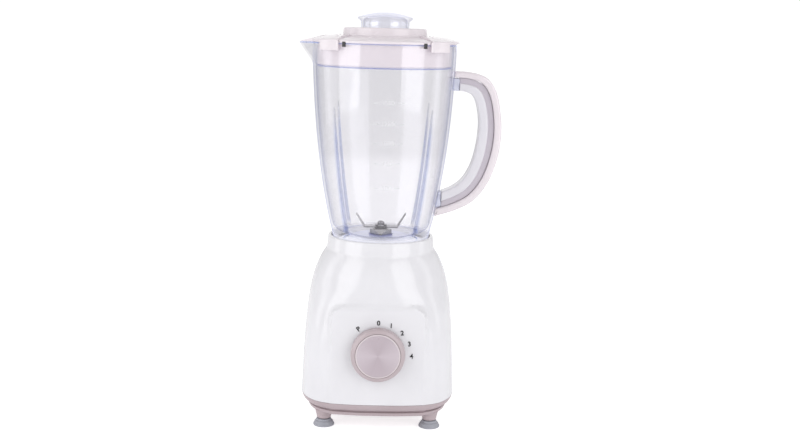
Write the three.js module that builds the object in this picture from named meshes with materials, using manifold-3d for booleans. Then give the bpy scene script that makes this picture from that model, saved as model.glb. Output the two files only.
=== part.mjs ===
// A countertop blender: a motor base with a turned speed knob, and a clear jug with blades, lid and cap.
// Millimetres, +Z up. Everything is laid out round the drive axis, which stands at x = 0, y = 0 in the
// inner group, with the front at -Y and the jug's handle at +X. The outer group then moves the middle of
// the whole object's footprint to the origin, at the height that the feet stand on.
import * as THREE from 'three';
import { ConvexGeometry } from 'three/addons/geometries/ConvexGeometry.js';
import { mergeVertices } from 'three/addons/utils/BufferGeometryUtils.js';
import Module from 'manifold-3d';

const wasm = await Module();
wasm.setup();

// ---- Driving dimensions ----
const gap = 0.3;              // between two pieces that touch
const slip = 0.6;             // between two pieces that slide apart
const running = 0.06;         // radial clearance of a shaft in its bearing
const wall = 2.6;             // moulded walls of the base and the jug
const roundSteps = 32;        // facets round the large turned pieces
const midSteps = 16;          // and round the middling and small ones
const smallSteps = 12;

// Motor base
const bodyHalfWidth = 77.2;   // at the seam, along X
const bodyHalfDepth = 75.5;   // at the seam, along Y
const bodySquareness = 3.3;   // exponent of the rounded-square plan at the seam, 2 is a circle
const seamHeight = 29;        // where the housing meets the bottom cover
const neckTop = 185;          // the housing's upper rim
const shoulderHeight = 75;    // from the start of the shoulder's curve up to the neck's rim
const shoulderRadius = 73;
const neckHeight = 13.5;      // the nearly straight collar above the shoulder
const rimRounding = 1.6;
const seatRadius = 49.9;      // the round recess that the jug stands in
const neckWall = 3.3;         // of the collar round the recess
const seatDepth = 20.5;
const seatFloorThickness = 3;
const keyWidth = 5;           // four keys in the recess stop the jug from turning
const keyDepth = 2.2;
const keyHeight = 9;

// Bottom cover and feet
const coverBottom = 15.6;
const coverFloor = 3;
const coverInset = 7;         // how far the cover draws in from the seam to its lower edge
const grooveDepth = 1.6;
const grooveHeight = 2.2;
const legRadius = 7.5;
const legBottom = 7.4;
const legX = 52.5;
const legY = 50;
const footRadius = 10.5;
const footStemRadius = 3.2;
const footStemLength = 7;
const ventCount = 12;
const ventWidth = 3;
const ventInner = 12;
const ventOuter = 34;

// Front panel and knob
const panelHalfWidth = 46.8;
const panelTop = 126;
const panelCorner = 13;
const panelBow = 322;         // radius that the panel is bowed to, about an upright axis
const panelLean = 1.3;        // degrees that it leans back
const knobHeight = 81;
const knobRadius = 26.5;
const knobRim = 5;            // thickness of the knob's outer ring
const knobLength = 9.6;
const knobFaceRadius = 21.2;
const knobFaceThickness = 1.2;
const knobStandOff = 1;
const knobStemRadius = 3;
const switchSize = 30;
const switchDepth = 18;

// Motor
const shaftRadius = 4;
const shaftBottom = 27;
const fanBottom = 29;
const fanHeight = 12;
const fanRadius = 32;
const fanBlades = 10;
const lowerBracketBottom = 46;
const bracketThickness = 4;
const bracketWidth = 24;
const bracketLegWidth = 12;
const commutatorRadius = 12;
const commutatorBottom = 53;
const commutatorHeight = 13;
const statorBottom = 74;
const statorHeight = 40;
const statorLength = 96;
const statorDepth = 66;
const armatureRadius = 22;
const airGap = 1;
const coilThickness = 9;
const coilOverhang = 7;
const poleWidth = 28;
const bearingWall = 5;
const bearingHeight = 8;
const brushWidth = 6;
const brushHeight = 8;
const motorScrewRadius = 2;
const motorScrewHeadRadius = 4;
const motorBossWall = 4;
const damperHeight = 5.4;

// Base screws and the cord's inlet
const screwRadius = 1.6;
const screwHeadRadius = 3.4;
const screwHeadHeight = 2.4;
const baseBossRadius = 4.6;
const baseBossX = 61;
const baseBossY = 22;
const baseBossTop = 56;
const glandHeight = 41;
const glandBore = 3.6;
const glandWall = 1.8;
const glandFlangeRim = 2.6;
const glandStandOff = 5.1;

// Drive couplings
const couplingTeeth = 6;
const couplingRadius = 11;
const couplingToothDepth = 3;
const couplingHeight = 7;
const couplingDisc = 2;
const couplingDiscRim = 3;
const drivenWall = 5.5;
const drivenRoof = 2.4;
const driveHoleRoom = 5;      // round the shaft, in the floor of the recess

// Jug
const jarSeatRoom = 0.8;      // between the jug's wall and the recess
const jarFootStep = 1.5;      // the foot is this much narrower than the wall above it
const jarFootSlope = 1.5;     // from the neck's rim up to where the jug's wall starts
const jarRimRadius = 71.2;
const jarHeight = 191;        // from the neck's rim to the jug's rim
const jarBulge = 0.4;         // height of the wall curve's control point, as a share of the wall
const jarBulgeStep = 2.6;     // and how far in from the rim it stands
const jarFloorThickness = 4;
const jarDishRim = 14;        // from the foot's radius in to the dished floor
const jarDishRise = 3.6;
const jarDishCorner = 10;
const ribWidth = 3;
const ribDepth = 5;
const ribHeight = 128;
const ribAngles = [45, 135, 225, 315];
const spoutStandOut = 13.3;
const spoutHalfWidth = 19;
const spoutDrop = 20;
const spoutTipWidth = 4;

// Handle: two edges, from the jug's upper lug to its lower one. Each pair is the distance out from the
// jug's rim radius and the depth below the jug's rim.
const handleWidth = 24;
const handleCoverShare = 0.36;      // of the handle's thickness
const handleWebShare = 0.62;        // where the narrow web ends and the inner grip starts
const handleWebWidth = 14;
const handleUpper = 25.2;           // depth of the upper arm's top below the rim
const handleLower = 170.5;          // depth of the lower arm's underside below the rim
const handleOuterEdge = [
  [14, 26], [30, 30.8], [40.3, 45], [45.3, 68], [46.3, 90], [42.8, 113], [34.3, 136], [20.8, 153.5],
  [3, 163.4],
];
const handleInnerEdge = [
  [9, 45], [17.8, 50], [22.3, 62], [24.2, 78], [22.3, 99], [17.3, 118], [9.3, 132.5], [-1.2, 141],
];
const handleArmHeight = 19;         // the upper arm, where it meets the jug
const handleFootHeight = 24;        // the lower arm, where it meets the jug
const upperLugReach = 9;            // how far the jug's lugs stand out from its rim radius
const lowerLugReach = -5;
const handleScrewLength = 18;

// Blades
const bladeShaftRadius = 3;
const bladeThickness = 1.3;
const bladeWidth = 12;
const upperBladeReach = 17;
const upperTipReach = 8.5;
const upperTipRise = 13;
const lowerBladeReach = 16;
const lowerTipReach = 10;
const lowerTipDrop = 2.4;
const bushWall = 2;
const holderWall = 1.7;
const holderFlangeRim = 7;
const holderFlange = 1.8;
const gasketThickness = 1.3;
const lockNutRim = 4;
const lockNutHeight = 4;
const bladeNutRim = 3;
const bladeNutHeight = 4.6;

// Lid and cap
const lidSkirtRoom = 2.2;     // between the skirt and the jug's wall
const lidSkirtDepth = 21.5;
const lidSkirtWall = 2.2;
const lidFlangeEdge = 3.2;
const lidSlopeRise = 3.4;     // from the flange's edge up to the foot of the centre boss
const lidBossInset = 29.7;    // from the rim in to the raised centre
const lidBossHeight = 15.2;   // above the jug's rim
const lidPlate = 2.4;
const wingTop = 8;            // above the jug's rim
const wingNearAngle = 36.3;   // degrees from the X axis to the wing's corner at the boss
const wingFarAngle = 50.7;    // and to its corner at the rim
const tabDrop = 6.8;
const tabThickness = 1.8;
const tabFrom = 33;           // degrees round from the X axis
const tabTo = 51;
const slotWidth = 4;
const capNeckRadius = 23.8;
const capLedge = 2.4;         // the lid's ledge that the cap stands on
const capLedgeDepth = 12;     // below the boss's top
const capFlangeRim = 3.3;
const capNeckRise = 8.3;      // the neck's height above the boss
const capFlangeThickness = 2.6;
const capDomeRise = 4;
const capWall = 2;
const lidGasketRadius = 1.2;

// ---- Worked-out sizes ----
const boreRoom = 1 / Math.cos(Math.PI / smallSteps);   // keeps a bore's flats clear of a turning shaft
const neckRadius = seatRadius + neckWall;
const jarBaseRadius = seatRadius - jarSeatRoom;
const jarFootRadius = jarBaseRadius - jarFootStep;
const jarDishRadius = jarFootRadius - jarDishRim;
const jarBulgeRadius = jarRimRadius - jarBulgeStep;
const spoutReach = jarRimRadius + spoutStandOut;
const couplingRootRadius = couplingRadius - couplingToothDepth;
const couplingDiscRadius = couplingRadius + couplingDiscRim;
const drivenRadius = couplingRadius + drivenWall;
const driveHoleRadius = shaftRadius + driveHoleRoom;
const bushRadius = bladeShaftRadius + bushWall;
const holderRadius = bushRadius + gap + holderWall;
const holderFlangeRadius = holderRadius + holderFlangeRim;
const bladeHoleRadius = holderRadius + gap;
const lockNutRadius = holderRadius + lockNutRim;
const bladeNutRadius = bladeShaftRadius + bladeNutRim;
const lidSkirtRadius = jarRimRadius - wall - lidSkirtRoom;
const lidFlangeRadius = jarRimRadius;
const lidBossRadius = jarRimRadius - lidBossInset;
const capFlangeRadius = capNeckRadius + capFlangeRim;
const bearingRadius = shaftRadius + bearingWall;
const glandHoleRadius = glandBore + glandWall;
const glandFlange = glandHoleRadius + glandFlangeRim;
const motorBossRadius = motorScrewRadius + motorBossWall;

// ---- Worked-out places ----
const seatFloor = neckTop - seatDepth;
const shoulderStart = neckTop - shoulderHeight;
const housingBottom = seamHeight + gap / 2;
const coverTop = seamHeight - gap / 2;
const panelMiddle = -bodyHalfDepth + (knobHeight - seamHeight) * Math.tan(THREE.MathUtils.degToRad(panelLean));
const knobBack = panelMiddle - knobStandOff;
const knobFront = knobBack - knobLength;
const waistRadius = (bodyHalfWidth + shoulderRadius) / 2 + 0.4;   // halfway from the seam to the shoulder
const waistHeight = (housingBottom + shoulderStart) / 2;
const wallLean = (bodyHalfWidth - waistRadius) / (waistHeight - housingBottom);
const depthShare = bodyHalfDepth / bodyHalfWidth;
const glandWallAt = (bodyHalfWidth - (glandHeight - housingBottom) * wallLean) * depthShare;
const glandBack = glandWallAt + glandStandOff;
const statorTop = statorBottom + statorHeight;
const upperBracketTop = statorTop + coilOverhang + slip * 4 + bracketThickness;
const legSpan = statorLength / 2 - bracketLegWidth;         // inner edge of a bracket's leg
const motorScrewX = statorLength / 2 - bracketLegWidth / 2;
const motorBossBottom = upperBracketTop + damperHeight + 2 * gap;
const motorBossTop = seatFloor - seatFloorThickness / 2;
const discBottom = seatFloor + 1;
const discTop = discBottom + couplingDisc;
const driveTop = discTop + couplingHeight;
const drivenBottom = discTop + slip;
const drivenCeiling = driveTop + slip;
const drivenTop = drivenCeiling + drivenRoof;
const flangeBottom = drivenTop + slip;
const flangeTop = flangeBottom + holderFlange;
const jarFloorBottom = flangeTop + gap;
const jarFloorTop = jarFloorBottom + jarFloorThickness;
const jarFootBottom = seatFloor + gap;
const jarWallStart = neckTop + jarFootSlope;
const jarTop = neckTop + jarHeight;
const gasketTop = jarFloorTop + gap + gasketThickness;
const lockNutTop = gasketTop + gap + lockNutHeight;
const lowerBladeBottom = lockNutTop + slip;
const upperBladeBottom = lowerBladeBottom + bladeThickness + gap;
const washerBottom = upperBladeBottom + bladeThickness + gap;
const bladeNutBottom = washerBottom + bladeThickness + gap;
const bladeShaftTop = bladeNutBottom + bladeNutHeight + 1.2;
const lidBottom = jarTop + gap;
const lidBossTop = jarTop + lidBossHeight;
const capBottom = lidBossTop - capLedgeDepth + gap;
const handleReach = jarRimRadius + Math.max(...handleOuterEdge.map(([out]) => out));

// ---- Helpers ----
const degrees = THREE.MathUtils.degToRad;
const points2 = (pairs) => pairs.map(([x, y]) => new THREE.Vector2(x, y));

// Turns a closed mesh's faces out, whichever way its outline ran.
function facingOut(geometry) {
  const shape = geometry.clone();
  shape.deleteAttribute('normal');
  shape.deleteAttribute('uv');
  const merged = mergeVertices(shape, 1e-4);
  const at = merged.attributes.position;
  const index = Array.from(merged.index.array);
  const [a, b, c] = [new THREE.Vector3(), new THREE.Vector3(), new THREE.Vector3()];
  let volume = 0;
  for (let i = 0; i < index.length; i += 3) {
    a.fromBufferAttribute(at, index[i]);
    b.fromBufferAttribute(at, index[i + 1]);
    c.fromBufferAttribute(at, index[i + 2]);
    volume += a.dot(b.cross(c));
  }
  const faces = [];
  for (let i = 0; i < index.length; i += 3) {
    const [p, q, r] = [index[i], index[i + 1], index[i + 2]];
    if (p === q || q === r || r === p) continue;
    faces.push(...(volume < 0 ? [p, r, q] : [p, q, r]));
  }
  merged.setIndex(faces);
  return merged;
}

function toSolid(geometry) {
  const shape = facingOut(geometry);
  return new wasm.Manifold(new wasm.Mesh({
    numProp: 3,
    vertProperties: new Float32Array(shape.attributes.position.array),
    triVerts: new Uint32Array(shape.index.array),
  }));
}

function toGeometry(solid) {
  const mesh = solid.getMesh();
  const geometry = new THREE.BufferGeometry();
  geometry.setAttribute('position', new THREE.BufferAttribute(mesh.vertProperties, 3));
  geometry.setIndex(new THREE.BufferAttribute(mesh.triVerts, 1));
  return geometry;
}

// First shape, with the "add" shapes joined on and the "cut" shapes taken away.
function carve(base, { add = [], cut = [], within = [] }) {
  let solid = toSolid(base);
  for (const shape of add) solid = solid.add(toSolid(shape));
  for (const shape of within) solid = solid.intersect(toSolid(shape));
  for (const shape of cut) solid = solid.subtract(toSolid(shape));
  return toGeometry(solid);
}

// A closed outline of [radius, height] pairs, turned about Z.
function turned(pairs, segments) {
  return new THREE.LatheGeometry(points2(pairs), segments).rotateX(Math.PI / 2);
}

// A round bar or, with a bore, a tube, standing on a height.
function rod(radius, bottom, top, segments = smallSteps) {
  return turned([[0, bottom], [radius, bottom], [radius, top], [0, top]], segments);
}
function tube(bore, radius, bottom, top, segments = smallSteps) {
  return turned([[bore, bottom], [radius, bottom], [radius, top], [bore, top], [bore, bottom]], segments);
}

// A box from its lowest to its highest corner.
function block([x0, y0, z0], [x1, y1, z1]) {
  return new THREE.BoxGeometry(x1 - x0, y1 - y0, z1 - z0)
    .translate((x0 + x1) / 2, (y0 + y1) / 2, (z0 + z1) / 2);
}

// An outline in plan, raised from one height to another.
function raised(shape, bottom, top, curveSegments = 8) {
  return new THREE.ExtrudeGeometry(shape, { depth: top - bottom, bevelEnabled: false, curveSegments })
    .translate(0, 0, bottom);
}

// An outline of [x, z] pairs, seen from the front and given a width along Y, with rounded edges.
function sideways(pairs, width, rounding = 0) {
  const settings = {
    depth: width - 2 * rounding, bevelEnabled: rounding > 0, bevelThickness: rounding, bevelSize: rounding,
    bevelOffset: -rounding, bevelSegments: 1, curveSegments: 6,
  };
  return new THREE.ExtrudeGeometry(new THREE.Shape(points2(pairs)), settings)
    .translate(0, 0, rounding - width / 2).rotateX(Math.PI / 2);
}

function regularOutline(sides, radius, turn = 0) {
  const corners = Array.from({ length: sides }, (_, i) => {
    const angle = turn + (i * 2 * Math.PI) / sides;
    return [radius * Math.cos(angle), radius * Math.sin(angle)];
  });
  return points2(corners);
}

function around(count, make) {
  return Array.from({ length: count }, (_, i) => make((i * 2 * Math.PI) / count));
}

// ---- Materials ----
const finishes = {
  whiteGloss: [0xe9e8ee, 0.22, 0], taupe: [0xbaadb2, 0.42, 0], rubberGrey: [0x9d9da6, 0.75, 0],
  knobTaupe: [0xc8bec5, 0.35, 0.1], knobFace: [0xc9bfc6, 0.3, 0.6], darkPlastic: [0x26262a, 0.6, 0],
  steel: [0xb8bac0, 0.3, 1], lamination: [0x6d7078, 0.5, 0.8], copper: [0xb0643a, 0.35, 1],
  carbon: [0x2b2b2e, 0.8, 0], brass: [0xb79a55, 0.35, 1], clear: [0xdfe0ea, 0.08, 0],
  lidPlastic: [0xe8e0e4, 0.38, 0], silicone: [0xe4e6ee, 0.6, 0], fanPlastic: [0xd8d4c6, 0.55, 0],
};

const model = new THREE.Group();

function addPiece(name, finish, geometry) {
  const [color, roughness, metalness] = finishes[finish];
  const material = new THREE.MeshStandardMaterial({ color, roughness, metalness });
  if (finish === 'clear') Object.assign(material, { transparent: true, opacity: 0.4 });
  const mesh = new THREE.Mesh(facingOut(geometry), material);
  mesh.name = name;
  model.add(mesh);
}

// ---- Motor base ----
// The plan turns from a rounded square at the seam into a circle at the neck.
function squared(geometry) {
  const at = geometry.attributes.position;
  const start = seamHeight + (shoulderStart - seamHeight) * 0.4;
  const end = seatFloor - seatFloorThickness - 2;
  for (let i = 0; i < at.count; i += 1) {
    const [x, y, z] = [at.getX(i), at.getY(i), at.getZ(i)];
    const share = 1 - THREE.MathUtils.smoothstep(z, start, end);
    const power = 2 + (bodySquareness - 2) * share;
    const radius = Math.hypot(x, y);
    if (radius < 1e-6) continue;
    const spread = (Math.abs(x / radius) ** power + Math.abs(y / radius) ** power) ** (-1 / power);
    const depth = 1 - (1 - depthShare) * share;
    at.setXY(i, x * spread, y * spread * depth);
  }
  return geometry;
}

function shellOutline() {
  const side = new THREE.Path();
  side.moveTo(bodyHalfWidth, housingBottom);
  side.lineTo(waistRadius, waistHeight);
  side.lineTo(shoulderRadius, shoulderStart);
  side.bezierCurveTo(
    shoulderRadius - 2.4, shoulderStart + 0.35 * shoulderHeight,
    neckRadius + 12, neckTop - neckHeight - 14,
    neckRadius + 1.2, neckTop - neckHeight,
  );
  side.lineTo(neckRadius - 0.2, neckTop - 2 * rimRounding);
  return side;
}

const shellSide = shellOutline().getPoints(6).map(({ x, y }) => [x, y]);

function housing() {
  const rim = [
    [neckRadius - 0.2 - rimRounding * 0.3, neckTop - rimRounding * 0.6],
    [neckRadius - 0.2 - rimRounding, neckTop],
    [seatRadius + rimRounding * 0.3, neckTop - rimRounding * 0.3],
    [seatRadius, neckTop - rimRounding],
  ];
  const underFloor = seatFloor - seatFloorThickness;
  const inside = shellSide.filter(([, z]) => z < underFloor - 1).map(([r, z]) => [r - wall, z]).reverse();
  const outline = [
    ...shellSide, ...rim, [seatRadius, seatFloor], [driveHoleRadius, seatFloor],
    [driveHoleRadius, underFloor], [inside[0][0] - 2, underFloor], ...inside, shellSide[0],
  ];
  const shell = squared(turned(outline, roundSteps));
  return carve(shell, {
    add: [frontPanel(0), ...seatKeys(), ...baseBosses(), ...motorBosses()],
    cut: [
      frontPanel(wall),
      sidewaysRod(knobStemRadius + slip, -bodyHalfDepth - 20, -bodyHalfDepth + 20, knobHeight),
      sidewaysRod(glandHoleRadius, bodyHalfDepth - 20, bodyHalfDepth + 20, glandHeight),
      ...baseScrewPlaces().map(([x, y]) => rod(screwRadius + gap, 0, baseBossTop - 8, 12).translate(x, y, 0)),
      ...[-1, 1].map((side) => rod(motorScrewRadius + gap, 0, motorBossTop - 8, 12)
        .translate(side * motorScrewX, 0, 0)),
    ],
  });
}

function sidewaysRod(radius, from, to, height, segments = smallSteps) {
  return rod(radius, from, to, segments).rotateX(-Math.PI / 2).translate(0, 0, height);
}

// The raised panel round the knob: a bowed front, straight sides and two round upper corners. An inset
// gives the pocket behind it, which leaves the panel's own wall.
function frontPanel(inset) {
  const [half, top, corner] = [panelHalfWidth - inset, panelTop - inset, panelCorner - inset];
  const bottom = inset > 0 ? 0 : housingBottom;
  const back = -bodyHalfDepth + 9 + 3 * inset;
  const outline = new THREE.Shape();
  outline.moveTo(-half, bottom);
  outline.lineTo(half, bottom);
  outline.lineTo(half, top - corner);
  outline.absarc(half - corner, top - corner, corner, 0, Math.PI / 2);
  outline.absarc(corner - half, top - corner, corner, Math.PI / 2, Math.PI);
  const slab = new THREE.ExtrudeGeometry(outline, { depth: 24, bevelEnabled: false, curveSegments: 5 })
    .rotateX(Math.PI / 2).translate(0, back, 0);
  const bow = new THREE.CylinderGeometry(panelBow, panelBow, 4 * panelTop, 120).rotateX(Math.PI / 2)
    .rotateX(-degrees(panelLean))
    .translate(0, panelBow + panelMiddle + inset, knobHeight);
  return carve(slab, { within: [bow] });
}

function seatKeys() {
  return ribAngles.map((angle) => block(
    [seatRadius - keyDepth, -keyWidth / 2, seatFloor - 1],
    [seatRadius + 1.5, keyWidth / 2, seatFloor + keyHeight],
  ).rotateZ(degrees(angle)));
}

function baseScrewPlaces() {
  return [[-1, -1], [1, -1], [-1, 1], [1, 1]].map(([x, y]) => [x * baseBossX, y * baseBossY]);
}

// Each screw boss hangs on a rib from the side wall and comes down to the cover's floor.
function baseBosses() {
  return baseScrewPlaces().flatMap(([x, y]) => [
    rod(baseBossRadius, coverBottom + coverFloor + gap, baseBossTop, 16).translate(x, y, 0),
    block([Math.min(x, Math.sign(x) * (bodyHalfWidth - wall)), y - 1.2, seamHeight + 2],
      [Math.max(x, Math.sign(x) * (bodyHalfWidth - wall)), y + 1.2, baseBossTop - 2]),
  ]);
}

function motorBosses() {
  return [-1, 1].map((side) => rod(motorBossRadius, motorBossBottom, motorBossTop, smallSteps)
    .translate(side * motorScrewX, 0, 0));
}

function legPlaces() {
  return [['front_left', -1, -1], ['front_right', 1, -1], ['back_left', -1, 1], ['back_right', 1, 1]]
    .map(([name, x, y]) => ({ name, x: x * legX, y: y * legY }));
}

function bottomCover() {
  const lower = bodyHalfWidth - coverInset;
  const grooveTop = coverBottom + 3.4 + grooveHeight;
  const outline = [
    [0, coverBottom], [lower - 1.5, coverBottom], [lower, coverBottom + 1.2], [lower + 0.6, coverBottom + 3.2],
    [lower + 1.6 - grooveDepth, coverBottom + 3.8], [lower + 2.4 - grooveDepth, grooveTop - 0.6],
    [lower + 3.2, grooveTop], [bodyHalfWidth - 1.4, coverTop - 4.4], [bodyHalfWidth - 0.2, coverTop - 1.4],
    [bodyHalfWidth, coverTop], [bodyHalfWidth - wall, coverTop],
    [lower - 1.2, coverBottom + coverFloor + 1.5], [lower - 3, coverBottom + coverFloor],
    [0, coverBottom + coverFloor],
  ];
  const tray = squared(turned(outline, roundSteps));
  const vent = (angle) => block([ventInner, -ventWidth / 2, 0], [ventOuter, ventWidth / 2, seamHeight])
    .rotateZ(angle);
  return carve(tray, {
    add: legPlaces().map(({ x, y }) => rod(legRadius, legBottom, coverBottom + coverFloor + 1, smallSteps)
      .translate(x, y, 0)),
    cut: [
      ...around(ventCount, vent),
      ...legPlaces().map(({ x, y }) => rod(footStemRadius + gap, 0, legBottom + footStemLength + gap, 16)
        .translate(x, y, 0)),
      ...baseScrewPlaces().map(([x, y]) => rod(screwRadius + gap, 0, seamHeight, 12).translate(x, y, 0)),
    ],
  });
}

// A rubber foot: a hollowed sucker with a stem that plugs into the leg.
function foot() {
  const top = legBottom - gap;
  return turned([
    [0, 1.4], [footRadius - 4, 0.9], [footRadius - 2, 0], [footRadius - 0.4, 0], [footRadius, 0.9],
    [footRadius - 0.6, 2.6], [footRadius - 2.6, 3.6], [footRadius - 3, 4.6], [footRadius - 2.2, 5.4],
    [footRadius - 2.6, top], [footStemRadius, top], [footStemRadius, legBottom + footStemLength],
    [0, legBottom + footStemLength],
  ], smallSteps);
}

function baseScrew([x, y]) {
  const headTop = coverBottom - gap;
  return turned([
    [0, headTop - screwHeadHeight + 1], [1.2, headTop - screwHeadHeight + 1], [1.2, headTop - screwHeadHeight],
    [screwHeadRadius - 0.8, headTop - screwHeadHeight], [screwHeadRadius, headTop - screwHeadHeight + 0.8],
    [screwHeadRadius, headTop], [screwRadius, headTop], [screwRadius, baseBossTop - 10],
    [0, baseBossTop - 9],
  ], smallSteps).translate(x, y, 0);
}

// The rubber grommet that the mains lead enters by, held in the back wall. Its flanges stand off the
// wall by as much as the wall leans across them.
function cordGland() {
  const standOff = glandFlange * wallLean * depthShare + 2 * gap;
  const outer = glandWallAt + standOff;
  const inner = glandWallAt - wall - standOff;
  const neck = glandHoleRadius - gap;
  return turned([
    [glandBore, inner - 3], [glandFlange, inner - 3], [glandFlange, inner], [neck, inner],
    [neck, outer], [glandFlange, outer], [glandFlange - 1, outer + 2],
    [glandBore + 1.6, glandBack], [glandBore, glandBack], [glandBore, inner - 3],
  ], smallSteps).rotateX(-Math.PI / 2).translate(0, 0, glandHeight);
}

// ---- Knob and its switch ----
// The knob's pieces are turned about Z, pointing down, then swung to face the front.
function facingFront(geometry) {
  return geometry.rotateX(-Math.PI / 2).translate(0, 0, knobHeight);
}

function knob() {
  const recess = knobFront + 1.6;
  return carve(facingFront(turned([
    [0, knobBack], [knobRadius, knobBack], [knobRadius, knobBack - knobRim],
    [knobRadius - 0.8, knobBack - knobRim - 0.8], [knobFaceRadius + 0.8, knobFront + 0.4],
    [knobFaceRadius, knobFront], [knobFaceRadius - 0.6, recess], [0, recess],
  ], roundSteps)), {
    cut: [sidewaysRod(knobStemRadius + gap, knobBack + 1, knobBack - 5, knobHeight)],
  });
}

function knobFace() {
  const back = knobFront + 1.6 - gap;
  const front = back - knobFaceThickness;
  const radius = knobFaceRadius - 0.6 - gap;
  return facingFront(turned([
    [0, back], [radius, back], [radius, front + 0.3], [radius - 0.4, front], [0, front],
  ], roundSteps));
}

function switchStem() {
  return sidewaysRod(knobStemRadius, knobBack - 5 + gap, switchFront() + 8, knobHeight);
}

function switchFront() {
  return -bodyHalfDepth + 14;
}

function switchBody() {
  const front = switchFront();
  const half = switchSize / 2;
  const body = block([-half, front, knobHeight - half], [half, front + switchDepth, knobHeight + half]);
  const terminals = [-1, 0, 1].map((i) => block(
    [i * 9 - 1.6, front + switchDepth - 1, knobHeight - 10],
    [i * 9 + 1.6, front + switchDepth + 7, knobHeight - 9],
  ));
  const collar = sidewaysRod(knobStemRadius + 3, panelMiddle + wall + slip, front + 1, knobHeight);
  const bore = sidewaysRod(knobStemRadius + gap, panelMiddle, front + 8 + gap, knobHeight);
  return carve(body, { add: [collar, ...terminals], cut: [bore] });
}

// ---- Motor ----
function bracket(legEnd, barBottom, barTop) {
  const [low, high] = [Math.min(legEnd, barBottom), Math.max(legEnd, barTop)];
  const half = statorLength / 2;
  const width = bracketWidth / 2;
  const middle = (barBottom + barTop) / 2;
  const boss = rod(bearingRadius + 3, middle - bearingHeight / 2, middle + bearingHeight / 2, smallSteps);
  return carve(block([-half, -width, barBottom], [half, width, barTop]), {
    add: [boss, ...[-1, 1].map((side) => block(
      [side < 0 ? -half : legSpan, -width, low], [side < 0 ? -legSpan : half, width, high],
    ))],
    cut: [
      rod(bearingRadius + gap, low - 20, high + 20, midSteps),
      ...[-1, 1].map((side) => rod(motorScrewRadius + gap, low - 1, high + 1, 12)
        .translate(side * motorScrewX, 0, 0)),
    ],
  });
}

function bearing(barBottom) {
  const bottom = barBottom + (bracketThickness - bearingHeight) / 2;
  return tube((shaftRadius + running) * boreRoom, bearingRadius, bottom, bottom + bearingHeight);
}

function statorCore() {
  const bore = armatureRadius + airGap;
  const windowX = [bore - 2, bore + coilThickness + 3];
  const windowY = [poleWidth / 2, poleWidth / 2 + coilThickness + 2 * slip];
  const windows = [[-1, -1], [-1, 1], [1, -1], [1, 1]].map(([sx, sy]) => block(
    [Math.min(sx * windowX[0], sx * windowX[1]), Math.min(sy * windowY[0], sy * windowY[1]), statorBottom - 1],
    [Math.max(sx * windowX[0], sx * windowX[1]), Math.max(sy * windowY[0], sy * windowY[1]), statorTop + 1],
  ));
  const [half, deep, corner] = [statorLength / 2, statorDepth / 2, 6];
  const outline = new THREE.Shape(points2([
    [-half + corner, -deep], [half - corner, -deep], [half, -deep + corner], [half, deep - corner],
    [half - corner, deep], [-half + corner, deep], [-half, deep - corner], [-half, -deep + corner],
  ]));
  return carve(raised(outline, statorBottom, statorTop), {
    cut: [
      rod(bore, statorBottom - 1, statorTop + 1, midSteps), ...windows,
      ...[-1, 1].map((side) => rod(motorScrewRadius + gap, statorBottom - 1, statorTop + 1, 12)
        .translate(side * motorScrewX, 0, 0)),
    ],
  });
}

// A field coil is a rounded ring that wraps one pole of the stator.
function fieldCoil(side) {
  const hole = poleWidth / 2 + slip;
  const inner = armatureRadius + airGap + slip;
  const rise = statorHeight / 2 + slip;
  const ring = new THREE.Shape(points2(ovalCorners(hole + coilThickness, rise + coilOverhang - slip, 5)));
  ring.holes.push(new THREE.Path(points2(ovalCorners(hole, rise, 1))));
  return new THREE.ExtrudeGeometry(ring, { depth: coilThickness, bevelEnabled: false })
    .rotateX(Math.PI / 2).rotateZ(Math.PI / 2)
    .translate(side > 0 ? inner : -inner - coilThickness, 0, statorBottom + statorHeight / 2);
}

// A rectangle's corners, each cut across.
function ovalCorners(halfWidth, halfHeight, corner) {
  return [
    [halfWidth - corner, -halfHeight], [halfWidth, corner - halfHeight], [halfWidth, halfHeight - corner],
    [halfWidth - corner, halfHeight], [corner - halfWidth, halfHeight], [-halfWidth, halfHeight - corner],
    [-halfWidth, corner - halfHeight], [corner - halfWidth, -halfHeight],
  ];
}

function brushPlace(side, from, to, width, height) {
  const middle = commutatorBottom + commutatorHeight / 2;
  return block(
    [Math.min(side * from, side * to), -width / 2, middle - height / 2],
    [Math.max(side * from, side * to), width / 2, middle + height / 2],
  );
}

function brushHolder(side) {
  const pedestal = block(
    [side > 0 ? 18 : -26, -4, lowerBracketBottom + bracketThickness + gap],
    [side > 0 ? 26 : -18, 4, commutatorBottom + 2],
  );
  return carve(brushPlace(side, commutatorRadius + 2.5, legSpan - 3, brushWidth + 5, brushHeight + 5), {
    add: [pedestal],
    cut: [brushPlace(side, commutatorRadius, legSpan - 6, brushWidth + 2 * gap, brushHeight + 2 * gap)],
  });
}

function carbonBrush(side) {
  return brushPlace(side, commutatorRadius + gap, legSpan - 10, brushWidth, brushHeight);
}

function motorScrew(side) {
  const headTop = lowerBracketBottom - gap;
  return turned([
    [0, headTop - 3], [motorScrewHeadRadius, headTop - 3], [motorScrewHeadRadius, headTop],
    [motorScrewRadius, headTop], [motorScrewRadius, motorBossTop - 10], [0, motorBossTop - 9],
  ], 12).translate(side * motorScrewX, 0, 0);
}

function motorDamper(side) {
  const bottom = upperBracketTop + gap;
  return tube(motorScrewRadius + gap, motorBossRadius, bottom, bottom + damperHeight, smallSteps)
    .translate(side * motorScrewX, 0, 0);
}

function armatureCore() {
  const slots = around(12, (angle) => block(
    [armatureRadius - 4, -1.1, statorBottom], [armatureRadius + 2, 1.1, statorTop + 1],
  ).rotateZ(angle));
  const core = tube(shaftRadius + gap, armatureRadius, statorBottom + 1, statorTop - 1, midSteps);
  return carve(core, { cut: slots });
}

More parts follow.
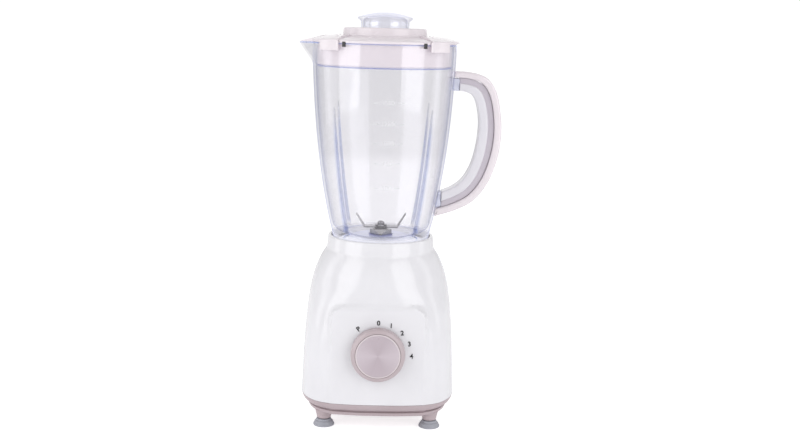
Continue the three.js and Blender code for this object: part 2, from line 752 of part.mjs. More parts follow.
// The windings show as a thick ring at each end of the armature's core.
function armatureWinding(bottom, top) {
  const middle = (bottom + top) / 2;
  return turned([
    [shaftRadius + gap, bottom], [armatureRadius - 7, bottom], [armatureRadius - 3, middle],
    [armatureRadius - 6, top], [shaftRadius + gap, top], [shaftRadius + gap, bottom],
  ], midSteps);
}

function commutator() {
  const top = commutatorBottom + commutatorHeight;
  return carve(tube(shaftRadius + gap, commutatorRadius, commutatorBottom, top, midSteps), {
    cut: around(10, (angle) => block(
      [commutatorRadius - 1.2, -0.35, commutatorBottom - 1], [commutatorRadius + 1, 0.35, top - 3],
    ).rotateZ(angle)),
  });
}

function coolingFan() {
  const top = fanBottom + fanHeight;
  const blade = (angle) => block([7, -0.9, fanBottom], [fanRadius, 0.9, top - 1]).rotateZ(angle);
  return carve(tube(shaftRadius + gap, 9, fanBottom, top, smallSteps), {
    add: [tube(6, fanRadius, top - 2, top, roundSteps), ...around(fanBlades, blade)],
  });
}

function motorShaft() {
  return turned([
    [0, shaftBottom], [shaftRadius - 0.6, shaftBottom], [shaftRadius, shaftBottom + 0.6],
    [shaftRadius, driveTop - 3], [0, driveTop - 3],
  ], smallSteps);
}

// ---- Couplings ----
function starOutline(grow) {
  const tooth = Math.PI / couplingTeeth;
  const corners = around(couplingTeeth, (angle) => [
    [angle - 0.62 * tooth, couplingRootRadius], [angle - 0.34 * tooth, couplingRadius],
    [angle + 0.34 * tooth, couplingRadius], [angle + 0.62 * tooth, couplingRootRadius],
  ]).flat();
  const step = grow / couplingRadius;
  return new THREE.Shape(points2(corners.map(([angle, radius], i) => {
    const turn = i % 4 < 2 ? -step : step;
    return [(radius + grow) * Math.cos(angle + turn), (radius + grow) * Math.sin(angle + turn)];
  })));
}

function driveCoupling() {
  return carve(rod(couplingDiscRadius, discBottom, discTop, midSteps), {
    add: [raised(starOutline(0), discTop - 0.5, driveTop)],
    cut: [rod(shaftRadius + gap, discBottom - 1, driveTop - 3 + gap, smallSteps)],
  });
}

function drivenCoupling() {
  return carve(rod(drivenRadius, drivenBottom, drivenTop, midSteps), {
    cut: [
      raised(starOutline(slip), drivenBottom - 1, drivenCeiling),
      rod(bladeShaftRadius + gap, drivenCeiling - 1, drivenTop + 1, 16),
    ],
  });
}

// ---- Jug ----
function jarWallCurve() {
  return new THREE.QuadraticBezierCurve(
    new THREE.Vector2(jarBaseRadius, jarWallStart),
    new THREE.Vector2(jarBulgeRadius, jarWallStart + jarBulge * (jarTop - jarWallStart)),
    new THREE.Vector2(jarRimRadius, jarTop),
  );
}

const jarWall = jarWallCurve().getPoints(8).map(({ x, y }) => [x, y]);

// The jug's outer radius at a height on its wall.
function jarRadiusAt(height) {
  const above = jarWall.findIndex(([, z]) => z >= height);
  if (above < 1) return above < 0 ? jarRimRadius : jarBaseRadius;
  const [[r0, z0], [r1, z1]] = [jarWall[above - 1], jarWall[above]];
  return r0 + ((r1 - r0) * (height - z0)) / (z1 - z0);
}

function jar() {
  const dishTop = jarFloorTop + jarDishRise + jarDishCorner;
  const inside = jarWall.filter(([, z]) => z > dishTop).map(([r, z]) => [r - wall, z]).reverse();
  const corner = new THREE.QuadraticBezierCurve(
    new THREE.Vector2(jarRadiusAt(dishTop) - wall, dishTop),
    new THREE.Vector2(jarRadiusAt(dishTop) - wall - 3, jarFloorTop + jarDishRise),
    new THREE.Vector2(jarDishRadius, jarFloorTop + jarDishRise),
  ).getPoints(3).map(({ x, y }) => [x, y]);
  const hollow = jarFootRadius - wall - 1;
  const outline = [
    [jarFootRadius - 1, jarFootBottom], [jarFootRadius, jarFootBottom + 1], [jarFootRadius, neckTop - 4],
    ...jarWall, ...inside, ...corner, [jarDishRadius - 6, jarFloorTop], [bladeHoleRadius, jarFloorTop],
    [bladeHoleRadius, jarFloorBottom], [hollow - 2, jarFloorBottom], [hollow, jarFloorBottom - 2],
    [hollow, jarFootBottom], [jarFootRadius - 1, jarFootBottom],
  ];
  const keyway = (angle) => block(
    [seatRadius - keyDepth - slip - 6, -keyWidth / 2 - slip, 0],
    [seatRadius + 4, keyWidth / 2 + slip, seatFloor + keyHeight + slip],
  ).rotateZ(degrees(angle));
  return carve(turned(outline, roundSteps), {
    add: [...ribAngles.map(jarRib), spout(0), ...handleLugs()],
    cut: [
      spout(wall), ...ribAngles.map(keyway), ...screwBores(screwRadius + gap, handleScrewLength),
    ],
  });
}

// A thin fin on the inside of the wall that fades out towards its top.
function jarRib(angle) {
  const bottom = jarFloorTop + jarDishRise - 1;
  const steps = [0.08, 0.4, 0.75, 1].map((share) => {
    const z = bottom + share * ribHeight;
    return [jarRadiusAt(z) - wall / 2, z, ribDepth * (1 - share) ** 0.6];
  });
  const fin = [
    ...steps.map(([r, z]) => [r, z]), ...steps.map(([r, z, depth]) => [r - wall / 2 - depth, z]).reverse(),
    [jarDishRadius, bottom], [jarRadiusAt(bottom) - wall / 2 - 3, bottom],
  ];
  return sideways(fin, ribWidth).rotateZ(degrees(angle));
}

// The pouring lip, as the hull of its rim and its foot on the wall. An inset gives its hollow.
function spout(inset) {
  const lift = inset > 0 ? 5 : 0;
  const tip = spoutReach - inset * 1.2;
  const half = spoutHalfWidth - inset;
  const root = (y, z) => Math.sqrt(jarRadiusAt(z) ** 2 - y * y) - wall / 2 - (inset > 0 ? wall : 0);
  const rim = [
    [-tip, -spoutTipWidth / 2], [-tip, spoutTipWidth / 2], [-tip + 5, -spoutTipWidth - 1],
    [-tip + 5, spoutTipWidth + 1], [-root(half, jarTop), -half], [-root(half, jarTop), half],
  ];
  const foot = jarTop - spoutDrop + inset * 1.4;
  const corners = [
    ...rim.map(([x, y]) => [x, y, jarTop + lift]), ...rim.map(([x, y]) => [x, y, jarTop - 1.4]),
    [-root(2, foot), -2, foot], [-root(2, foot), 2, foot],
  ];
  return new ConvexGeometry(corners.map((corner) => new THREE.Vector3(...corner)));
}

// ---- Handle ----
function handleEdge(pairs, first, last) {
  const inward = 1.3;
  const at = ([out, down]) => new THREE.Vector2(jarRimRadius + out, jarTop - down);
  return new THREE.SplineCurve([
    new THREE.Vector2(jarRadiusAt(jarTop - first) - inward, jarTop - first),
    ...pairs.map(at),
    new THREE.Vector2(jarRadiusAt(jarTop - last) - inward, jarTop - last),
  ]);
}

const outerEdge = handleEdge(handleOuterEdge, handleUpper, handleLower);
const innerEdge = handleEdge(handleInnerEdge, handleUpper + handleArmHeight, handleLower - handleFootHeight);

// The points at a share of the way from the handle's outer edge to its inner one.
function handleLine(share, steps = 18) {
  return Array.from({ length: steps + 1 }, (_, i) => {
    const spot = outerEdge.getPointAt(i / steps).lerp(innerEdge.getPointAt(i / steps), share);
    return [spot.x, spot.y];
  });
}

function handleBand(from, to, width, rounding) {
  return sideways([...handleLine(from), ...handleLine(to).reverse()], width, rounding);
}

// The parts of the handle's space that the jug's two lugs fill.
function lugSpace(extra) {
  const middle = jarTop - (handleUpper + handleLower) / 2;
  const half = handleWidth;
  return [
    block([0, -half, middle], [jarRimRadius + upperLugReach + extra, half, jarTop + 10]),
    block([0, -half, jarTop - handleLower - 30], [jarRimRadius + lowerLugReach + extra, half, middle]),
  ];
}

function handleLugs() {
  const bar = handleBand(handleCoverShare + 0.04, 1, handleWidth - 4, 0);
  return lugSpace(0).map((space) => carve(bar, { within: [space] }));
}

function screwHeights() {
  const upper = jarTop - handleUpper - handleArmHeight * 0.68;
  const lower = jarTop - handleLower + handleFootHeight * 0.8;
  return [
    { name: 'upper', z: upper, seat: jarRimRadius + upperLugReach + 6 },
    { name: 'lower', z: lower, seat: jarRimRadius + lowerLugReach + 6 },
  ];
}

// Straight holes along X, from a screw's seat back towards the jug.
function screwBores(radius, length) {
  return screwHeights().map(({ z, seat }) => rod(radius, seat - length, seat + 0.5, 12)
    .rotateY(Math.PI / 2).translate(0, 0, z));
}

function handleFrame() {
  const grip = handleBand(handleWebShare, 1, handleWidth - 2, 2);
  const heads = screwHeights().map(({ z, seat }) => rod(screwHeadRadius + gap, seat, seat + 30, 16)
    .rotateY(Math.PI / 2).translate(0, 0, z));
  return carve(grip, {
    add: [handleBand(handleCoverShare + 0.02, handleWebShare + 0.05, handleWebWidth, 0)],
    cut: [...lugSpace(gap), ...screwBores(screwRadius + gap, handleScrewLength), ...heads],
  });
}

function jarEnvelope(grow) {
  return turned([[0, neckTop], [jarBaseRadius + grow, neckTop], ...jarWall.map(([r, z]) => [r + grow, z]),
    [0, jarTop]], roundSteps);
}

function handleCover() {
  return carve(handleBand(0, handleCoverShare, handleWidth, 2.6), { cut: [jarEnvelope(gap + 0.2)] });
}

function handleScrew({ z, seat }) {
  return turned([
    [0, seat - handleScrewLength + 1], [screwRadius, seat - handleScrewLength + 2], [screwRadius, seat + gap],
    [screwHeadRadius - 0.2, seat + gap], [screwHeadRadius - 0.2, seat + gap + 1.6],
    [screwHeadRadius - 1, seat + gap + screwHeadHeight], [0, seat + gap + screwHeadHeight],
  ], smallSteps).rotateY(Math.PI / 2).translate(0, 0, z);
}

// ---- Blade unit ----
function bladeHolder() {
  const top = lockNutTop + gap;
  return turned([
    [bushRadius + gap, flangeBottom], [holderFlangeRadius, flangeBottom], [holderFlangeRadius, flangeTop],
    [holderRadius, flangeTop], [holderRadius, top], [bushRadius + gap, top], [bushRadius + gap, flangeBottom],
  ], midSteps);
}

function bladeBush() {
  return tube((bladeShaftRadius + running) * boreRoom, bushRadius, flangeBottom, lockNutTop, smallSteps);
}

function jarGasket() {
  return tube(holderRadius + gap, lockNutRadius + 1, jarFloorTop + gap, gasketTop, midSteps);
}

function lockNut() {
  const outline = new THREE.Shape(regularOutline(6, lockNutRadius));
  outline.holes.push(new THREE.Path(regularOutline(24, holderRadius + gap)));
  return raised(outline, gasketTop + gap, lockNutTop);
}

function bladeShaft() {
  return turned([
    [0, drivenCeiling + gap], [bladeShaftRadius, drivenCeiling + gap], [bladeShaftRadius, bladeShaftTop - 0.8],
    [bladeShaftRadius - 0.8, bladeShaftTop], [0, bladeShaftTop],
  ], smallSteps);
}

// One strip of steel with both ends bent, pierced for the shaft and ground to a taper at its tips.
function blade(bottom, reach, tipReach, tipRise) {
  const half = [
    [0, bottom], [reach, bottom], [reach + tipReach, bottom + tipRise],
    [reach + tipReach - 0.9, bottom + tipRise + bladeThickness], [reach - 0.6, bottom + bladeThickness],
    [0, bottom + bladeThickness],
  ];
  const mirrored = half.slice(1, 5).map(([x, z]) => [-x, z]).reverse();
  const strip = [half[0], ...half.slice(1, 5), half[5], ...mirrored];
  const plan = new THREE.Shape(points2([
    [-reach - tipReach, -bladeWidth * 0.1], [-reach, -bladeWidth / 2], [reach, -bladeWidth / 2],
    [reach + tipReach, bladeWidth * 0.3], [reach + tipReach, bladeWidth * 0.5], [reach, bladeWidth / 2],
    [-reach, bladeWidth / 2], [-reach - tipReach, bladeWidth * 0.1],
  ]));
  return carve(sideways(strip, bladeWidth), {
    within: [raised(plan, bottom - 30, bottom + 30)],
    cut: [rod(bladeShaftRadius + gap, bottom - 5, bottom + 5, smallSteps)],
  });
}

function bladeWasher() {
  return tube(bladeShaftRadius + gap, bladeNutRadius, washerBottom, washerBottom + bladeThickness, smallSteps);
}

function bladeNut() {
  const outline = new THREE.Shape(regularOutline(6, bladeNutRadius));
  outline.holes.push(new THREE.Path(regularOutline(20, bladeShaftRadius + gap)));
  return raised(outline, bladeNutBottom, bladeNutBottom + bladeNutHeight);
}

// ---- Lid ----
function lid() {
  const skirtBottom = jarTop - lidSkirtDepth;
  const edgeTop = lidBottom + lidFlangeEdge;
  const slopeTop = edgeTop + lidSlopeRise;
  const skirtInner = lidSkirtRadius - lidSkirtWall;
  const ledge = lidBossTop - capLedgeDepth;
  const hole = capNeckRadius + slip;
  const outline = [
    [lidSkirtRadius - 1, skirtBottom], [lidSkirtRadius, skirtBottom + 1], [lidSkirtRadius, lidBottom],
    [lidFlangeRadius, lidBottom], [lidFlangeRadius, edgeTop - 1.6], [lidFlangeRadius - 1.2, edgeTop],
    [lidBossRadius + 1.2, slopeTop], [lidBossRadius + 0.4, slopeTop + 1], [lidBossRadius, lidBossTop - 1],
    [lidBossRadius - 1, lidBossTop], [hole, lidBossTop], [hole, ledge], [hole - capLedge, ledge],
    [hole - capLedge, ledge - 2], [hole + 1.8, ledge - 2], [hole + 1.8, lidBossTop - lidPlate],
    [lidBossRadius - lidPlate, lidBossTop - lidPlate], [lidBossRadius - lidPlate, slopeTop - lidPlate],
    [skirtInner, lidBottom + 1], [skirtInner, skirtBottom], [lidSkirtRadius - 1, skirtBottom],
  ];
  return carve(turned(outline, roundSteps), {
    add: [lidWing(1), lidWing(-1), spoutCover(), ...lidTabs()],
    cut: lidSlots(),
  });
}

function wingOutline(side) {
  const [near, far] = [degrees(wingNearAngle), degrees(wingFarAngle)];
  const [x, y] = [lidBossRadius * Math.cos(near), lidBossRadius * Math.sin(near)];
  const outline = new THREE.Shape();
  outline.moveTo(x, -y);
  outline.absarc(0, 0, lidFlangeRadius + tabThickness + 0.6, -far, far);
  outline.lineTo(x, y);
  return { outline, turn: side > 0 ? 0 : Math.PI };
}

// A raised wing on each side, flat on top and sloping down to the rim at its outer end.
function lidWing(side) {
  const { outline, turn } = wingOutline(side);
  const bottom = lidBottom + 1.2;
  const top = jarTop + wingTop;
  const reach = lidFlangeRadius + tabThickness + 1;
  const slope = sideways([
    [0, bottom - 1], [reach, bottom - 1], [reach, lidBottom + 2], [reach - 15, top], [0, top],
  ], 4 * reach);
  return carve(raised(outline, bottom, top, smallSteps), { within: [slope] }).rotateZ(turn);
}

// The tongue that covers the pouring lip.
function spoutCover() {
  const half = spoutHalfWidth - wall;
  const [tip, shoulder, root] = [spoutReach - 1, spoutReach - 6, lidFlangeRadius - 4];
  const plan = new THREE.Shape(points2([
    [-tip, -spoutTipWidth / 2], [-shoulder, -spoutTipWidth - 1], [-root, -half], [-lidBossRadius, -half],
    [-lidBossRadius, half], [-root, half], [-shoulder, spoutTipWidth + 1], [-tip, spoutTipWidth / 2],
  ]));
  const wedge = sideways([
    [-spoutReach, lidBottom], [-lidBossRadius, lidBottom], [-lidBossRadius, jarTop + wingTop - 1],
    [-lidFlangeRadius + 12, jarTop + wingTop - 1], [-spoutReach, lidBottom + 0.9],
  ], 4 * half);
  return carve(raised(plan, lidBottom, lidBossTop), { within: [wedge] });
}

// Four tabs hang from the wings outside the jug's rim.
function lidTabs() {
  const inner = lidFlangeRadius + 0.5;
  const outer = inner + tabThickness;
  const sector = new THREE.Shape();
  sector.absarc(0, 0, outer, degrees(tabFrom), degrees(tabTo));
  sector.absarc(0, 0, inner, degrees(tabTo), degrees(tabFrom), true);
  const tab = raised(sector, jarTop - tabDrop, jarTop + wingTop - 3, 6);
  const mirrored = tab.clone().rotateX(Math.PI).translate(0, 0, 2 * jarTop - tabDrop + wingTop - 3);
  return [tab, mirrored, tab.clone().rotateZ(Math.PI), mirrored.clone().rotateZ(Math.PI)];
}

// A small opening through the skirt beside each tab.
function lidSlots() {
  return [tabTo + 4, -tabTo - 4, 180 - tabTo - 4, 180 + tabTo + 4].map((angle) => block(
    [lidSkirtRadius - lidSkirtWall - 2, -slotWidth / 2, jarTop - 5],
    [lidSkirtRadius + 2, slotWidth / 2, jarTop - 0.5],
  ).rotateZ(degrees(angle)));
}

function lidGasket() {
  const middle = jarTop - lidSkirtDepth - gap - lidGasketRadius;
  const radius = lidSkirtRadius - lidSkirtWall / 2;
  return new THREE.TorusGeometry(radius, lidGasketRadius, 6, roundSteps).translate(0, 0, middle);
}

// The clear measuring cap: a cup that is open below, with a finger flange and a shallow dome.
function fillerCap() {
  const neckTopZ = lidBossTop + capNeckRise;
  const flangeTopZ = neckTopZ + capFlangeThickness;
  const domeTop = flangeTopZ + capDomeRise;
  const inner = capNeckRadius - capWall;
  return turned([
    [capNeckRadius, capBottom], [capNeckRadius, neckTopZ - 1.5], [capFlangeRadius, neckTopZ + 0.8],
    [capFlangeRadius, flangeTopZ - 0.4], [capFlangeRadius - 5, flangeTopZ + 0.8], [14, domeTop - 1],
    [6, domeTop - 0.2], [0, domeTop], [0, domeTop - capWall], [13, domeTop - 1 - capWall],
    [inner - 1, flangeTopZ - capWall + 0.6], [inner, flangeTopZ - capWall - 1], [inner, capBottom],
    [capNeckRadius, capBottom],
  ], midSteps);
}

// ---- Assembly ----
const sides = [['left', -1], ['right', 1]];

addPiece('housing', 'whiteGloss', housing());
addPiece('bottom_cover', 'taupe', bottomCover());
for (const { name, x, y } of legPlaces()) addPiece(`foot_${name}`, 'rubberGrey', foot().translate(x, y, 0));
baseScrewPlaces().forEach((place, i) => addPiece(`base_screw_${i + 1}`, 'steel', baseScrew(place)));
addPiece('cord_gland', 'rubberGrey', cordGland());
addPiece('speed_switch', 'darkPlastic', switchBody());

addPiece('lower_bearing_bracket', 'steel',
  bracket(statorBottom - gap, lowerBracketBottom, lowerBracketBottom + bracketThickness));
addPiece('upper_bearing_bracket', 'steel',
  bracket(statorTop + gap, upperBracketTop - bracketThickness, upperBracketTop));
addPiece('lower_bearing', 'brass', bearing(lowerBracketBottom));
addPiece('upper_bearing', 'brass', bearing(upperBracketTop - bracketThickness));
addPiece('stator_core', 'lamination', statorCore());
for (const [name, side] of sides) {
  addPiece(`field_coil_${name}`, 'copper', fieldCoil(side));
  addPiece(`brush_holder_${name}`, 'brass', brushHolder(side));
  addPiece(`carbon_brush_${name}`, 'carbon', carbonBrush(side));
  addPiece(`motor_screw_${name}`, 'steel', motorScrew(side));
  addPiece(`motor_damper_${name}`, 'darkPlastic', motorDamper(side));
}

addPiece('motor_shaft', 'steel', motorShaft());
addPiece('armature_core', 'lamination', armatureCore());
addPiece('lower_armature_winding', 'copper',
  armatureWinding(commutatorBottom + commutatorHeight + gap, statorBottom + 1 - gap));
addPiece('upper_armature_winding', 'copper',
  armatureWinding(statorTop - 1 + gap, statorTop + coilOverhang - 1));
addPiece('commutator', 'copper', commutator());
addPiece('cooling_fan', 'fanPlastic', coolingFan());
addPiece('drive_coupling', 'darkPlastic', driveCoupling());

addPiece('knob', 'knobTaupe', knob());
addPiece('knob_face', 'knobFace', knobFace());
addPiece('switch_stem', 'darkPlastic', switchStem());

addPiece('jar', 'clear', jar());
addPiece('handle_frame', 'clear', handleFrame());
addPiece('handle_cover', 'lidPlastic', handleCover());
for (const place of screwHeights()) addPiece(`handle_screw_${place.name}`, 'steel', handleScrew(place));
addPiece('blade_holder', 'darkPlastic', bladeHolder());
addPiece('blade_bush', 'brass', bladeBush());
addPiece('jar_gasket', 'silicone', jarGasket());
addPiece('lock_nut', 'steel', lockNut());

addPiece('blade_shaft', 'steel', bladeShaft());
addPiece('lower_blade', 'steel',
  blade(lowerBladeBottom, lowerBladeReach, lowerTipReach, -lowerTipDrop).rotateZ(Math.PI / 2));
addPiece('upper_blade', 'steel', blade(upperBladeBottom, upperBladeReach, upperTipReach, upperTipRise));
addPiece('blade_washer', 'steel', bladeWasher());
addPiece('blade_nut', 'steel', bladeNut());
addPiece('driven_coupling', 'darkPlastic', drivenCoupling());

addPiece('lid', 'lidPlastic', lid());
addPiece('lid_gasket', 'silicone', lidGasket());
addPiece('filler_cap', 'clear', fillerCap());

// The footprint's middle goes to the origin: from spout to handle, and from knob to gland.
model.position.set((spoutReach - handleReach) / 2, (-knobFront - glandBack) / 2, 0);

const blender = new THREE.Group();
blender.add(model);

export default blender;
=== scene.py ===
# Countertop blender: motor base, clear jug with its handle, lid and cap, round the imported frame
from math import cos, hypot, pi, radians, sin, sqrt, tan

import bmesh
import bpy
from mathutils import Matrix, Quaternion, Vector
from mathutils.geometry import interpolate_bezier


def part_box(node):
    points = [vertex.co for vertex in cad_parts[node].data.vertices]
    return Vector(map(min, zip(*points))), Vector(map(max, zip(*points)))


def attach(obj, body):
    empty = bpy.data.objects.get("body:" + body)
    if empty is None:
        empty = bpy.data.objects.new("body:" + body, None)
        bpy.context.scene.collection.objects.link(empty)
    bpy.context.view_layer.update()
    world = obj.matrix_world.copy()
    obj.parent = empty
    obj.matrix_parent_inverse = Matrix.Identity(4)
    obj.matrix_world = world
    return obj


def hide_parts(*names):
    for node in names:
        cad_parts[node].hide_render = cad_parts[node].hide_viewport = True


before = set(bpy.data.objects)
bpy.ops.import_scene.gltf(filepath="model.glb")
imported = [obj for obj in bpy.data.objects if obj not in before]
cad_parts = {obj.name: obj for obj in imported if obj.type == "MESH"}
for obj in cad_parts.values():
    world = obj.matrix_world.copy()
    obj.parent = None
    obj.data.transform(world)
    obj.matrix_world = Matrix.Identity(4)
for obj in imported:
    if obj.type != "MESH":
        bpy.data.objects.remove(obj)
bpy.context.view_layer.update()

# Pieces are modelled in millimetres about the drive axis, z up from the table, front along -Y.
mm = 0.001
couplingLow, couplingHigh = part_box("drive_coupling")
driveAxis = Vector(((couplingLow.x + couplingHigh.x) / 2, (couplingLow.y + couplingHigh.y) / 2, 0))
toFrame = Matrix.Translation(driveAxis) @ Matrix.Scale(mm, 4)
front = Matrix.Rotation(pi / 2, 4, "X")      # turns a piece made along +Z to face the front


def extent(node):
    low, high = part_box(node)
    return (low - driveAxis) / mm, (high - driveAxis) / mm


class Wire:
    # a socket that does sums: an expression on it adds its Math nodes
    def __init__(self, tree, socket):
        self.tree, self.socket = tree, socket

    def maths(self, operation, *values, clamp=False):
        made = self.tree.nodes.new("ShaderNodeMath")
        made.operation, made.use_clamp = operation, clamp
        for slot, value in zip(made.inputs, values):
            feed(self.tree, slot, value)
        return Wire(self.tree, made.outputs[0])

    def __add__(self, other):
        return self.maths("ADD", self, other)

    def __sub__(self, other):
        return self.maths("SUBTRACT", self, other)

    def __rsub__(self, other):
        return self.maths("SUBTRACT", other, self)

    def __mul__(self, other):
        return self.maths("MULTIPLY", self, other)

    def __truediv__(self, other):
        return self.maths("DIVIDE", self, other)

    def __pow__(self, other):
        return self.maths("POWER", self, other)

    __radd__, __rmul__ = __add__, __mul__

    def clamped(self):
        return self.maths("ADD", self, 0.0, clamp=True)

    def size(self):
        return self.maths("ABSOLUTE", self)

    def root(self):
        return self.maths("SQRT", self)


def feed(tree, slot, value):
    if isinstance(value, Wire):
        tree.links.new(value.socket, slot)
    else:
        slot.default_value = value


def tone(red, green, blue):
    # a colour as it looks on screen, 0 to 255, as the shader wants it
    return tuple((c / 255 / 12.92 if c <= 10 else ((c / 255 + 0.055) / 1.055) ** 2.4)
                 for c in (red, green, blue)) + (1.0,)


class Finish:
    def __init__(self, name, **constants):
        self.material = bpy.data.materials.new(name)
        self.material.use_nodes = True
        self.tree = self.material.node_tree
        self.shader = self.tree.nodes["Principled BSDF"]
        self.output = self.tree.nodes["Material Output"]
        for slot, value in constants.items():
            self.shader.inputs[slot.replace("_", " ")].default_value = value

    def node(self, kind, settings=None, values=None, output=0):
        made = self.tree.nodes.new("ShaderNode" + kind)
        for name, value in (settings or {}).items():
            setattr(made, name, value)
        for name, value in (values or {}).items():
            feed(self.tree, made.inputs[name], value)
        return Wire(self.tree, made.outputs[output])

    def place(self, centre=(0, 0, 0), stretch=(1, 1, 1)):
        # object coordinates in millimetres, measured from a centre given in the piece's own millimetres
        middle = toFrame @ Vector(centre)
        local = self.node("TexCoord", output="Object")
        scale = tuple(share / mm for share in stretch)
        return self.node("Mapping", {"vector_type": "POINT"}, {
            "Vector": local, "Scale": scale,
            "Location": tuple(-at * share for at, share in zip(middle, scale)),
        })

    def parts(self, vector):
        split = self.tree.nodes.new("ShaderNodeSeparateXYZ")
        feed(self.tree, split.inputs[0], vector)
        return [Wire(self.tree, end) for end in split.outputs]

    def noise(self, vector, scale, detail=3.0, rough=0.55):
        return self.node("TexNoise", None, {
            "Vector": vector, "Scale": scale, "Detail": detail, "Roughness": rough})

    def blend(self, share, first, second):
        made = self.tree.nodes.new("ShaderNodeMix")
        made.data_type = "RGBA"
        for slot, value in ((0, share), (6, first), (7, second)):
            feed(self.tree, made.inputs[slot], value)
        return Wire(self.tree, made.outputs[2])

    def bump(self, height, strength, distance=mm * 0.1):
        return self.node("Bump", None, {"Strength": strength, "Distance": distance, "Height": height})

    def wear(self, **links):
        for slot, wire in links.items():
            feed(self.tree, self.shader.inputs[slot.replace("_", " ")], wire)
        return self.material


def moulded(name, light, dark, roughness=0.3, grain=0.25, grainSize=1.4, coat=0.0, paintedGlow=0.0,
            paintedGlowBelow=0.0):
    # moulded plastic: cloudy tone, uneven gloss and a fine grain left by the tool; inside the jug's
    # rim and below a height it can carry a painted glow, a little light given off to brighten it
    made = Finish(name, Coat_Roughness=0.08, IOR=1.48, Emission_Strength=paintedGlow)
    spot = made.place()
    cloud = made.noise(spot, 0.035, 2.0)
    fine = made.noise(spot, 1 / grainSize, 4.0, 0.6)
    smear = made.noise(spot, 0.12, 3.0)
    if paintedGlow:
        across, deep, up = made.parts(spot)
        away = (across * across + deep * deep).root()
        # painted glow: the part inside the jug's rim and below the height gives off light
        lit = ((paintedGlowBelow - up) / 2.0).clamped() * ((rimRadius - away) * 2.0).clamped()
        made.wear(Emission_Color=made.blend(lit, (0, 0, 0, 1), light))
    return made.wear(
        Base_Color=made.blend((cloud * 1.6 - 0.3).clamped(), light, dark),
        Roughness=(roughness + (smear - 0.5) * 0.1 + (fine - 0.5) * 0.02).clamped(),
        Coat_Weight=(coat + (cloud - 0.5) * 0.1).clamped(),
        Normal=made.bump(fine, grain),
    )


def turnedMetal(name, light, dark, roughness, along):
    # bright metal with fine lines, ground along x or turned round the axis
    made = Finish(name, Metallic=1.0)
    stretch = {"x": (0.04, 1, 1), "round": (0.1, 0.1, 3)}[along]
    lines = made.noise(made.place(stretch=stretch), 4.0, 4.0, 0.7)
    cloud = made.noise(made.place(), 0.15, 3.0)
    return made.wear(
        Base_Color=made.blend((lines * 0.7 + cloud * 0.3).clamped(), dark, light),
        Roughness=(roughness + (lines - 0.5) * 0.2).clamped(),
        Normal=made.bump(lines, 0.15, mm * 0.05),
    )


def wound():
    # enamelled copper wire, laid in close turns
    made = Finish("copper_wire", Metallic=0.85)
    spot = made.place()
    turns = made.node("TexWave", {"wave_type": "BANDS", "bands_direction": "DIAGONAL"},
                      {"Vector": spot, "Scale": 0.55, "Distortion": 1.5, "Detail": 2.0})
    return made.wear(Base_Color=made.blend(turns, tone(120, 58, 30), tone(205, 124, 78)),
                     Roughness=(0.3 + turns * 0.2), Normal=made.bump(turns, 0.6, mm * 0.4))


def stacked():
    # thin steel sheets in a stack
    made = Finish("steel_stack", Metallic=0.8)
    sheets = made.node("TexWave", {"wave_type": "BANDS", "bands_direction": "Z"},
                       {"Vector": made.place(), "Scale": 0.7, "Distortion": 0.2})
    grime = made.noise(made.place(), 0.2)
    return made.wear(Base_Color=made.blend(sheets, tone(92, 90, 92), tone(140, 139, 140)),
                     Roughness=(0.42 + grime * 0.2), Normal=made.bump(sheets, 0.5, mm * 0.2))


def clearPlastic(name, edge, tint, least=0.045, most=0.9, curve=4.0, thickFrom=0.0, thickUpTo=0.0,
                 ribsUpTo=0.0, dishRim=0.0, lipFrom=1000.0):
    # clear moulded plastic: it passes light face on, and turns pale blue and mirror-like edge on;
    # it is milky between two heights and carries a painted glow there, blue along the ribs up to
    # another, and blue at the lip
    made = Finish(name, Emission_Strength=0.3)
    across, deep, up = made.parts(made.place())
    thick = ((thickUpTo - up) / 3.0).clamped() * ((up - thickFrom) / 2.0).clamped()
    apart = across.size() - deep.size()
    rib = ((1.05 - apart.size() / sqrt(2)) * 2.5).clamped()      # on the two diagonals
    rib = rib * ((ribsUpTo - up) / 30.0).clamped()
    rib = rib * ((up - thickUpTo) / 5.0).clamped()
    away = (across * across + deep * deep).root()
    rim = ((1.3 - (away - dishRim).size()) * 1.6).clamped() * thick
    lip = ((up - lipFrom) * 1.2).clamped()
    facing = made.node("LayerWeight", None, {"Blend": 0.5}, "Facing")
    flow = made.noise(made.place(stretch=(1, 1, 0.15)), 0.06, 3.0)
    pits = made.noise(made.place(), 0.7, 3.0)
    colour = made.blend((facing ** 5.0).clamped(), tone(248, 248, 251), edge)
    # painted glow: the milky band gives off a little pale light of its own, less on its blue rim line
    made.wear(Base_Color=made.blend((rib + rim + lip * 0.8).clamped(), colour, tone(98, 140, 236)),
              Metallic=(1.0 - thick * 0.95 - rib * 0.9 - lip * 0.9).clamped(),
              Emission_Color=made.blend(thick - rim, (0, 0, 0, 1), tone(226, 228, 240)),
              Roughness=(0.05 + pits * 0.05 + thick * 0.1), Normal=made.bump(flow, 0.2, mm * 0.6))
    through = made.node("BsdfTransparent", None, {"Color": tint})
    share = least + facing ** curve * (most - least) + (flow - 0.5) * 0.03
    share = (share + thick * 0.62 + rib * 0.1 + rim * 0.3 + lip * 0.3).clamped()
    shine = Wire(made.tree, made.shader.outputs[0])
    mixed = made.node("MixShader", None, {0: share, 1: through, 2: shine})
    made.tree.links.new(mixed.socket, made.output.inputs["Surface"])
    return made.material


